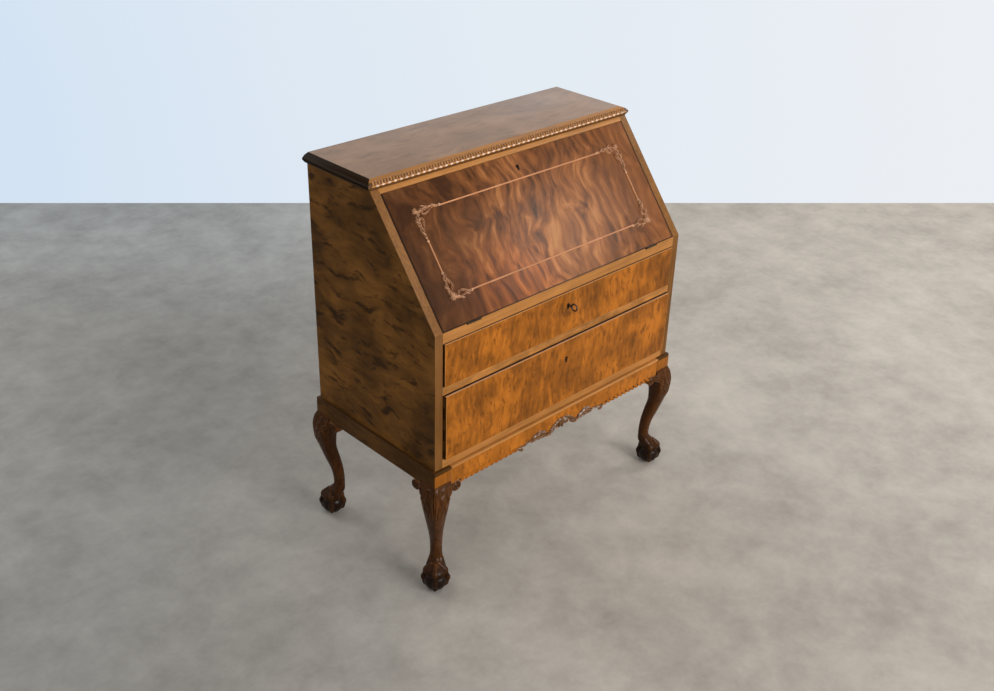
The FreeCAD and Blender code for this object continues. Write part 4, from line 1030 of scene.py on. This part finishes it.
class ESCRITOIRE_OT_drawers(EscritoireStep):
    """The two long drawers"""

    bl_idname = "escritoire.drawers"
    bl_label = "Drawers"

    def execute(self, context):
        for drawer in ("upper_drawer", "lower_drawer"):
            # The sides of each drawer front are dark: stain and painted shade in the gaps beside it.
            dress(drawer + "_front", "front_veneer", "inner_wood_across", (
                (FRONT, "drawer_veneer"), (UP, drawer + "_edge"), (LEFT, "dark_arris"), (RIGHT, "dark_arris"),
            ), "worn_arris")
            dress(drawer + "_sides", "inner_wood", "inner_wood_deep", (
                (LEFT, "stained_inside"), (RIGHT, "stained_inside"), (FRONT, "stained_inside"),
            ), "stained_inside")
            dress(drawer + "_back", "inner_wood", "inner_wood_across", arris="inner_wood_across")
            dress(drawer + "_bottom", "inner_wood", "inner_wood_across")
        return {"FINISHED"}


class ESCRITOIRE_OT_aprons(EscritoireStep):
    """Aprons of the stand, the bead along the front one and the blocks inside"""

    bl_idname = "escritoire.aprons"
    bl_label = "Aprons"

    def execute(self, context):
        dress("front_apron", "front_veneer", "edging_across", ((FRONT, "apron_veneer"),), "worn_arris")
        dress("apron_bead", "edging", "bright_edging")
        for node, outward in (("left_apron", LEFT), ("right_apron", RIGHT), ("back_apron", BACK)):
            dress(node, "case_veneer", "dark_arris", ((outward, "stand_veneer"),), "dark_arris")
        dress("corner_blocks", "inner_wood", "inner_wood_across", arris="inner_wood_across")
        return {"FINISHED"}


class ESCRITOIRE_OT_gadroons(EscritoireStep):
    """Slanted lobes under the front apron on both sides of the carving"""

    bl_idname = "escritoire.gadroons"
    bl_label = "Gadroons"

    # Where the strips begin beside the carving, and a lobe's share of the pitch.
    INNER_END, LOBE_SHARE = 0.164, 0.62
    # How far the face, the back and the foot of a strip are set in, and its eased edges.
    FACE_SET, BACK_SET, FOOT_SET, EASE = 0.0005, 0.0215, 0.002, 0.0015

    def execute(self, context):
        low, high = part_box("gadroon_edge")
        length = high.x - self.INNER_END
        count = round(length / (context.scene.escritoire_sizes.gadroon_pitch * self.LOBE_SHARE))
        step = length / count
        shape = bmesh.new()
        for side in (-1, 1):
            left, right = sorted((side * self.INNER_END, side * high.x))
            add_block(
                shape, (left, STAND_FRONT + self.FACE_SET, low.z + self.FOOT_SET),
                (right, STAND_FRONT + self.BACK_SET, APRON_BASE), self.EASE,
            )
            start = Vector((side * (self.INNER_END + step / 2), 0, 0))
            lobe = self.lobe(side, step / MM, low.z / MM)
            add_row(shape, lobe, count, start, Vector((side * step, 0, 0)), "gadroon_wood", 1)
        strip = as_piece("gadroon_edge_carved", shape, ["gadroon_ground", "gadroon_wood"])
        hand_in(strip, "gadroon_edge", "carved_wood")
        return {"FINISHED"}

    def lobe(self, side, step, foot):
        """One long lobe that slants down and turns under the edge."""
        shape, edge = bmesh.new(), APRON_BASE / MM
        knots = (
            (-0.62 * step, edge + 4.5, 0.8), (-0.34 * step, edge + 0.5, 2.9), (0, edge - 3.2, 4.4),
            (0.32 * step, foot + 4.4, 4.2), (0.56 * step, foot + 2.4, 1.6),
        )
        carve_leaf(shape, on_apron(side), knots, 3.6, steps=10)
        return as_piece("gadroon_unit", shape, ["gadroon_wood"])


class ESCRITOIRE_OT_apron_carving(EscritoireStep):
    """Shells, curls and bud at the middle of the front apron"""

    bl_idname = "escritoire.apron_carving"
    bl_label = "Apron carving"

    # Across from the middle, height above the floor and half width, then relief, teeth, veins and reeds.
    LEAVES = (
        (((124, 328, 1.6), (112, 336, 5.5), (97, 341, 8.5), (80, 339, 9.0), (66, 332, 6.5), (56, 325, 2.4)),
         6.5, 4, 0.0, 3),
        (((120, 325, 1.8), (104, 327, 4.0), (88, 327.5, 5.0), (72, 325, 4.0), (60, 321, 2.0)),
         5.0, 0, 4.0, 1),
        (((55, 323, 2.0), (48, 330, 4.2), (39, 337, 5.2), (29, 344, 5.2), (16, 350.5, 4.8), (0, 353.0, 4.4)),
         6.0, 7, 7.0, 1),
        (((53, 319, 1.8), (45, 322, 3.4), (37, 328, 4.0), (31, 334, 3.4), (24, 337, 2.8), (19, 333, 2.2),
          (23, 329, 1.6)), 5.2, 0, 3.0, 1),
        (((176, 331, 1.2), (163, 329, 3.2), (152, 327, 4.2), (140, 329, 4.0), (130, 333, 3.0),
          (124, 336, 1.2)), 4.6, 3, 0.0, 2),
        (((166, 325, 1.6), (160, 319, 3.0), (154, 317, 3.0), (151, 321, 2.0)), 5.0, 0, 0.0, 1),
    )
    # Across, height above the floor and radius.
    KNOBS = ((122, 330, 3.0), (57, 321, 3.4), (21, 332, 3.2), (153, 320, 2.8))
    # Down from the root of the bud and half width along a petal.
    PETAL = ((-4, 2.0), (6, 4.4), (16, 3.8), (25, 0.8))
    BUD_ROOT = 349

    def execute(self, context):
        shape = bmesh.new()
        for side in (-1, 1):
            spot = on_apron(side)
            for knots, relief, teeth, veins, reeds in self.LEAVES:
                carve_leaf(shape, spot, knots, relief, teeth, veins, reeds, steps=36, sunk=2.0)
            for a, b, radius in self.KNOBS:
                carve_bead(shape, spot, a, b, radius, 1.0)
        spot = on_apron(1)
        for turn in (-34, 0, 34):
            lean = math.radians(-90 + turn)
            petal = [
                (k * math.cos(lean), self.BUD_ROOT + k * math.sin(lean), half) for k, half in self.PETAL
            ]
            carve_leaf(shape, spot, petal, 6.0, veins=1.5, steps=18, sunk=6.0)
        carve_bead(shape, spot, 0, self.BUD_ROOT + 3, 5.0, 1.2)
        piece = as_piece("apron_scrolls", shape, ["apron_carving_wood"], crease=60)
        hand_in(piece, "apron_carving", "carved_wood")
        return {"FINISHED"}


class ESCRITOIRE_OT_legs(EscritoireStep):
    """Cabriole legs with carved knees and ball-and-claw feet"""

    bl_idname = "escritoire.legs"
    bl_label = "Legs"

    # Height in millimetres, reach of the outer and inner faces from the post's outer corner along the
    # diagonal, half width across it, and how full the section is between its corners.
    STATIONS = (
        (45, -3, -55, 26.0, 0.70),
        (62, 0, -58, 28.5, 0.70),
        (78, -17, -65.5, 23.0, 0.70),
        (95, -33.5, -66.5, 17.0, 0.68),
        (120, -34.5, -66.5, 15.8, 0.66),
        (150, -28.5, -63.8, 16.9, 0.66),
        (185, -15.0, -56.8, 20.0, 0.66),
        (220, -2.0, -48.5, 24.4, 0.64),
        (250, 7.4, -48.6, 29.6, 0.62),
        (276, 11.2, -51.8, 34.2, 0.60),
        (299, 11.7, -58.3, 37.0, 0.58),
        (319, 7.2, -67.3, 38.4, 0.55),
        (340, -0.3, -76.3, 38.0, 0.52),
    )
    # Reach, height and thickness of a toe as shares of the ball's radius.
    TOE = (
        (0.20, 2.62, 0.18), (0.48, 2.30, 0.25), (0.73, 1.95, 0.34), (0.88, 1.56, 0.23),
        (0.95, 1.16, 0.31), (0.94, 0.80, 0.20), (0.87, 0.50, 0.19), (0.70, 0.22, 0.06),
    )
    # From the post's outer corner in to the middle of the ball, in millimetres.
    FOOT_INSET = 29.3
    # Foot of the post above the floor, height of its cap, how far the cap is set in and laps over.
    POST_FOOT, CAP_HEIGHT, CAP_SET, CAP_LAP, POST_EASE = 0.336, 0.0095, 0.0004, 0.0016, 0.0012
    # Ground, post at the front, post at the sides and back in painted shade, cap in dark stain with painted
    # shade, and ball in dark stain with painted shade.
    LABELS = ("stained_leg", "post_wood", "stand_veneer", "dark_arris", "dark_ball")
    POST, POST_SIDE, CAP, BALL = range(1, 5)

    def execute(self, context):
        sizes = context.scene.escritoire_sizes
        for name, x, y in (
            ("front_right", 1, 1), ("front_left", -1, 1), ("back_right", 1, -1), ("back_left", -1, -1),
        ):
            shape = bmesh.new()
            self.leg(shape, sizes.knee_relief / MM)
            self.foot(shape, sizes.ball_radius / MM)
            self.post(shape, at_back=y < 0)
            bmesh.ops.transform(shape, matrix=Matrix.Diagonal((x, y, 1, 1)), verts=shape.verts)
            piece = as_piece(name + "_leg_carved", shape, self.LABELS, crease=50)
            hand_in(piece, name + "_leg", "leg_wood")
        return {"FINISHED"}

    def corner(self, out, side, level):
        """A point measured out along and across the diagonal of the front right post."""
        step = math.sqrt(0.5) * MM
        return Vector((STAND_SIDE + (out + side) * step, STAND_FRONT - (out - side) * step, level * MM))

    def post(self, shape, at_back):
        """The square post above the knee and the dark cap on it."""
        inner, back = STAND_SIDE - POST_WIDTH, STAND_FRONT + POST_WIDTH
        cap = APRON_HIGH.z - self.CAP_HEIGHT
        foot = (inner, STAND_FRONT, self.POST_FOOT)
        add_block(shape, foot, (STAND_SIDE, back, cap), self.POST_EASE, self.POST)
        shape.normal_update()
        for face in shape.faces:
            # The post's sides, and every face of a back post, are darker than its front: painted shade.
            if face.material_index == self.POST and (at_back or abs(face.normal.x) > 0.7):
                face.material_index = self.POST_SIDE
        add_block(
            shape, (inner, STAND_FRONT + self.CAP_SET, cap - self.CAP_LAP),
            (STAND_SIDE - self.CAP_SET, back, APRON_HIGH.z), self.POST_EASE, self.CAP,
        )

    def leg(self, shape, knee):
        """The curved leg from the ball up to the post."""
        rows, around = 120, 96
        rings = []
        for level, outer, inner, half, fullness in smooth_path(self.STATIONS, rows):
            power = math.log(fullness) / math.log(math.sqrt(0.5))
            middle, reach = (outer + inner) / 2, (outer - inner) / 2
            ring = []
            for k, (a, b) in enumerate(circle(around)):
                turn = FULL_TURN * k / around
                grow = self.knee_leaf(level, turn) * knee + self.flutes(level, turn)
                a = math.copysign(abs(a) ** power, a) * (reach + grow)
                b = math.copysign(abs(b) ** power, b) * (half + grow)
                ring.append(self.corner(middle + a, b, level))
            rings.append(ring)
        skin(shape, rings)

    def knee_leaf(self, level, turn):
        """Height of the leaf carved over the knee, from 0 to 1, at one spot of the leg."""
        tip, crown, lobes, notch, gouges = 232.0, 338.0, 5, 0.16, 3.5
        t = (level - tip) / (crown - tip)
        if not 0 < t < 1:
            return 0.0
        turn = (turn + math.pi) % FULL_TURN - math.pi
        spread = math.radians(28 + 92 * t ** 0.8)
        u = abs(turn) / (spread * (1 - notch * ripple(lobes * t)))
        if u > 1:
            return 0.0
        fade = min(1.0, 6 * (1 - u)) * min(1.0, 5 * t) * min(1.0, 9 * (1 - t))
        return fade * (1 - 0.85 * ripple(gouges * u ** 0.85))

    def flutes(self, level, turn):
        """Depth of the gouges between the toes above the ball, in millimetres."""
        low, high, depth, flutes = 56.0, 104.0, 3.2, 4
        t = (level - low) / (high - low)
        if not 0 < t < 1:
            return 0.0
        return -depth * math.sin(math.pi * t) * ripple(flutes * turn / FULL_TURN) ** 2

    def foot(self, shape, radius):
        """The ball and the four toes that hold it."""
        levels, around, lift = 24, 40, 0.97
        rings = []
        for number in range(levels + 1):
            lean = math.pi * (0.01 + 0.98 * number / levels) - math.pi / 2
            reach, level = radius * math.cos(lean), max(radius * (lift + math.sin(lean)), 0.0)
            rings.append([
                self.corner(reach * c - self.FOOT_INSET, reach * s, level) for c, s in circle(around)
            ])
        skin(shape, rings, self.BALL)
        for along, aside in ((1, 0), (-1, 0), (0, 1), (0, -1)):
            self.toe(shape, along, aside, radius)

    def toe(self, shape, along, aside, radius):
        """One claw toe with its knuckles, ending in a talon."""
        steps, around, narrow = 40, 16, 0.92
        path = smooth_path(self.TOE, steps)
        rings = []
        for number, (reach, level, thick) in enumerate(path):
            lean = heading(path, number)
            ring = []
            for c, s in circle(around):
                out = (reach - thick * c * math.sin(lean)) * radius
                across = thick * narrow * s * radius
                z = max((level + thick * c * math.cos(lean)) * radius, 0.0)
                ring.append(self.corner(
                    along * out - aside * across - self.FOOT_INSET, aside * out + along * across, z,
                ))
            rings.append(ring)
        skin(shape, rings)


class ESCRITOIRE_OT_brackets(EscritoireStep):
    """Scrolled brackets beside the knees"""

    bl_idname = "escritoire.brackets"
    bl_label = "Knee brackets"

    # Along the apron from the post and down from its lower edge, in millimetres.
    TOP_EDGE = ((0, 0), (18, 0))
    UNDERSIDE = ((13, 28.0), (8, 24.0), (3, 22.0), (0, 21.5))
    SCROLL_MIDDLE, SCROLL_RADIUS, THICKNESS, EASE = (18, 15), 15, 22, 1.2
    KNEE_LEAVES = (
        ((-44, -2, 1.2), (-30, 3, 3.8), (-14, 6, 4.8), (2, 6.5, 4.4), (14, 4, 2.6)),
        ((-46, 9, 1.2), (-32, 13, 3.8), (-16, 15, 4.8), (0, 15, 4.2), (9, 12, 2.4)),
        ((-44, 21, 1.2), (-30, 24, 3.4), (-16, 25, 4.2), (-3, 23, 3.2), (6, 19, 1.6)),
    )

    def execute(self, context):
        shape = bmesh.new()
        for x in (-1, 1):
            for y in (-1, 1):
                for spot in self.spots(x, y):
                    self.ear(shape, spot)
        piece = as_piece("knee_brackets_carved", shape, ["stained_leg"], crease=45)
        hand_in(piece, "knee_brackets", "leg_wood")
        return {"FINISHED"}

    def spots(self, x, y):
        """Places along the apron, down and out, on the two outer faces of one corner of the stand."""
        side, face = x * STAND_SIDE, y * STAND_FRONT

        def on_face(a, b, h):
            return Vector((side - x * (POST_WIDTH + a * MM), face - y * h * MM, APRON_BASE - b * MM))

        def on_side(a, b, h):
            return Vector((side + x * h * MM, face + y * (POST_WIDTH + a * MM), APRON_BASE - b * MM))

        return on_face, on_side

    def ear(self, shape, spot):
        """One bracket: its block, its rolled end and the leaves that join it to the knee."""
        middle_a, middle_b = self.SCROLL_MIDDLE
        radius = self.SCROLL_RADIUS
        outline = list(self.TOP_EDGE)
        for degrees in range(-78, 91, 12):
            turn = math.radians(degrees)
            outline.append((middle_a + radius * math.cos(turn), middle_b + radius * math.sin(turn)))
        outline += self.UNDERSIDE
        skin(shape, [
            [spot(a + (middle_a * 0.6 - a) * inset, b + (middle_b - b) * inset, h) for a, b in outline]
            for h, inset in ((-self.THICKNESS, 0.0), (-self.EASE, 0.0), (0.0, self.EASE / radius))
        ])
        self.volute(shape, spot)

        start, run, rise, spread = 6, 16, 3.0, 0.17

        def over_knee(a, b, h):
            swell = min(1.0, max(0.0, (start - a) / run))
            return spot(a, b, h + swell * swell * (3 - 2 * swell) * (rise + spread * b))

        for knots in self.KNEE_LEAVES:
            carve_leaf(shape, over_knee, knots, 3.6, veins=3.0, steps=24, sunk=7.0)

    def volute(self, shape, spot):
        """The rolled end: a ridge that winds in to a button."""
        levels, turns, sunk, core, ground = 14, 1.75, 1.0, 0.4, 0.4
        ridge_height, button, button_height = 2.4, 3.6, 3.2
        middle_a, middle_b = self.SCROLL_MIDDLE
        around, widest = circle(48), self.SCROLL_RADIUS * 0.96

        def ring(reach, height):
            return [
                spot(middle_a + reach * c, middle_b + reach * s, height(k / len(around)))
                for k, (c, s) in enumerate(around)
            ]

        rings = [ring(widest + core, lambda turn: -sunk)]
        for level in range(levels + 1):
            reach = widest * (1 - level / levels) + core
            wind, ridge = reach * turns / self.SCROLL_RADIUS, ridge_height * min(1.0, level / 2 + 0.1)
            knob = button_height * (1 - (reach / button) ** 2)
            rings.append(ring(reach, lambda turn: max(ground + ridge * ripple(wind + turn), knob)))
        skin(shape, rings)


class ESCRITOIRE_OT_metalwork(EscritoireStep):
    """Hinges, stays, locks, escutcheons, key and screws"""

    bl_idname = "escritoire.metalwork"
    bl_label = "Metalwork"

    METALS = (
        ("brass", "aged_brass", (
            "stay_case_arms", "stay_fall_arms", "stay_case_brackets", "stay_fall_brackets",
        )),
        ("brass", "dark_bronze", (
            "hinge_case_leaves", "hinge_fall_leaves", "hinge_pins",
            "fall_escutcheon", "upper_drawer_escutcheon", "lower_drawer_escutcheon",
        )),
        ("iron", "dark_iron", (
            "fall_lock", "upper_drawer_lock", "lower_drawer_lock", "fall_bolt", "upper_drawer_bolt",
            "lower_drawer_bolt", "key", "stand_screws",
        )),
    )

    def execute(self, context):
        for slot, label, nodes in self.METALS:
            for node in nodes:
                dress(node, slot, label)
        return {"FINISHED"}


class ESCRITOIRE_OT_inside(EscritoireStep):
    """Pigeonholes and small drawers behind the fall"""

    bl_idname = "escritoire.inside"
    bl_label = "Inside"

    def execute(self, context):
        for node, ground, edge in (
            ("gallery_shelf", "inner_wood_across", "edging_across"),
            ("gallery_dividers", "inner_wood_deep", "edging_upright"),
        ):
            dress(node, "inner_wood", ground, ((FRONT, edge),), edge)
        for drawer in ("inner_left_drawer", "inner_right_drawer"):
            dress(
                drawer + "_front", "inner_wood", "inner_wood_across",
                ((FRONT, "drawer_veneer"),), "worn_arris",
            )
            dress(drawer + "_tray", "inner_wood", "inner_wood_deep", arris="inner_wood_deep")
            dress(drawer + "_knob", "brass", "aged_brass")
        return {"FINISHED"}


class ESCRITOIRE_OT_stage(EscritoireStep):
    """Floor, wall, soft light and the camera"""

    bl_idname = "escritoire.stage"
    bl_label = "Stage"

    CAMERA_SPOT = Vector((-1.9446, -1.9393, 2.0042))
    YAW, PITCH, ROLL = 0.782749, 0.508466, 0.0305558
    SENSOR, PICTURE_WIDTH, PICTURE_HEIGHT = 36.0, 994, 691
    # Row of the picture in which the wall meets the floor.
    WALL_ROW = 203
    HALF_WALL, WALL_HEIGHT, FLOOR_DEPTH = 9.0, 5.0, 16.0
    SKY_COLOUR, SEEN_SKY = (0.96, 0.98, 1.0, 1), 0.85
    LAMP_COLOUR, LAMP_AIM = (1.0, 0.975, 0.94), Vector((0, 0, 0.55))

    def execute(self, context):
        stage = context.scene.escritoire_stage
        level = Vector((math.sin(self.YAW), math.cos(self.YAW), 0))
        right = Vector((level.y, -level.x, 0))
        ahead = level * math.cos(self.PITCH) + DOWN * math.sin(self.PITCH)
        up = right.cross(ahead)
        cosine, sine = math.cos(self.ROLL), math.sin(self.ROLL)
        view = (right * cosine + up * sine, up * cosine - right * sine, ahead)
        self.camera(context, stage, view)
        self.floor_and_wall(stage, view)
        self.light(context, stage)
        context.scene.view_settings.view_transform = "Standard"
        return {"FINISHED"}

    def camera(self, context, stage, view):
        across, above, ahead = view
        data = bpy.data.cameras.new("Camera")
        data.sensor_fit, data.sensor_width, data.lens = "HORIZONTAL", self.SENSOR, stage.lens
        data.clip_end = 60.0
        camera = bpy.data.objects.new("Camera", data)
        turn = Matrix((across, above, -ahead)).transposed().to_4x4()
        camera.matrix_world = Matrix.Translation(self.CAMERA_SPOT) @ turn
        context.scene.collection.objects.link(camera)
        context.scene.camera = camera

    def floor_spot(self, stage, view, column):
        """Where the wall meets the floor in one column of the picture."""
        across, above, ahead = view
        focal = stage.lens / self.SENSOR * self.PICTURE_WIDTH
        rightward, upward = column - self.PICTURE_WIDTH / 2, self.PICTURE_HEIGHT / 2 - self.WALL_ROW
        ray = ahead + across * (rightward / focal) + above * (upward / focal)
        return self.CAMERA_SPOT - ray * (self.CAMERA_SPOT.z / ray.z)

    def sheet(self, name, corners, material):
        mesh = bpy.data.meshes.new(name)
        mesh.from_pydata([tuple(corner) for corner in corners], [], [(0, 1, 2, 3)])
        mesh.materials.append(material)
        plane = bpy.data.objects.new(name, mesh)
        bpy.context.scene.collection.objects.link(plane)

    def floor_and_wall(self, stage, view):
        first, last = (self.floor_spot(stage, view, column) for column in (0, self.PICTURE_WIDTH))
        along, foot = (last - first).normalized(), (first + last) / 2
        left, right = foot - along * self.HALF_WALL, foot + along * self.HALF_WALL
        near, tall = Vector((along.y, -along.x, 0)) * self.FLOOR_DEPTH, UP * self.WALL_HEIGHT
        self.sheet("studio_floor", (left + near, right + near, right, left), floor_finish())
        self.sheet("studio_wall", (left, right, right + tall, left + tall), wall_finish())

    def light(self, context, stage):
        world = bpy.data.worlds.new("Studio light")
        world.use_nodes = True
        nodes, link = world.node_tree.nodes, world.node_tree.links.new
        sky, rays = nodes["Background"], nodes.new("ShaderNodeLightPath")
        level = nodes.new("ShaderNodeMapRange")
        sky.inputs["Color"].default_value = self.SKY_COLOUR
        level.inputs["To Min"].default_value = stage.sky_level
        level.inputs["To Max"].default_value = self.SEEN_SKY
        link(rays.outputs["Is Camera Ray"], level.inputs["Value"])
        link(level.outputs["Result"], sky.inputs["Strength"])
        context.scene.world = world
        for name, power, size, spot in (
            ("Key light", stage.key_power, 3.6, Vector((0.7, -6.0, 2.7))),
            ("Window light", stage.window_power, 2.2, Vector((3.7, -0.15, 2.8))),
            ("Back light", stage.back_power, 2.4, Vector((-1.2, 3.2, 2.7))),
            ("Sheen light", stage.sheen_power, 0.55, Vector((2.2, -1.87, 2.46))),
        ):
            lamp = bpy.data.lights.new(name, "AREA")
            lamp.shape, lamp.size, lamp.energy = "DISK", size, power
            lamp.color = self.LAMP_COLOUR
            light = bpy.data.objects.new(name, lamp)
            light.location = spot
            light.rotation_euler = (self.LAMP_AIM - spot).to_track_quat("-Z", "Y").to_euler()
            context.scene.collection.objects.link(light)


STEPS = (
    ESCRITOIRE_OT_case, ESCRITOIRE_OT_top, ESCRITOIRE_OT_fall, ESCRITOIRE_OT_fall_carvings,
    ESCRITOIRE_OT_drawers, ESCRITOIRE_OT_aprons, ESCRITOIRE_OT_gadroons, ESCRITOIRE_OT_apron_carving,
    ESCRITOIRE_OT_legs, ESCRITOIRE_OT_brackets, ESCRITOIRE_OT_metalwork, ESCRITOIRE_OT_inside,
    ESCRITOIRE_OT_stage,
)
GROUPS = {
    "escritoire_sizes": EscritoireSizes,
    "escritoire_finishes": EscritoireFinishes,
    "escritoire_stage": EscritoireStage,
}


class ESCRITOIRE_PT_maker(bpy.types.Panel):
    """Sizes, colours and steps of the escritoire"""

    bl_idname = "ESCRITOIRE_PT_maker"
    bl_label = "Escritoire"
    bl_space_type = "VIEW_3D"
    bl_region_type = "UI"
    bl_category = "Escritoire"

    def draw(self, context):
        for name, group in GROUPS.items():
            column = self.layout.column(align=True)
            for label in group.__annotations__:
                column.prop(getattr(context.scene, name), label)
        column = self.layout.column(align=True)
        for step in STEPS:
            column.operator(step.bl_idname)


def register():
    for label, group in GROUPS.items():
        bpy.utils.register_class(group)
        setattr(bpy.types.Scene, label, PointerProperty(type=group))
    for step in STEPS:
        bpy.utils.register_class(step)
    bpy.utils.register_class(ESCRITOIRE_PT_maker)


def unregister():
    bpy.utils.unregister_class(ESCRITOIRE_PT_maker)
    for step in reversed(STEPS):
        bpy.utils.unregister_class(step)
    for label, group in GROUPS.items():
        delattr(bpy.types.Scene, label)
        bpy.utils.unregister_class(group)


def main():
    """Make every piece in order."""
    register()
    for step in STEPS:
        getattr(bpy.ops.escritoire, step.bl_idname.split(".")[1])()


if __name__ == "__main__":
    main()
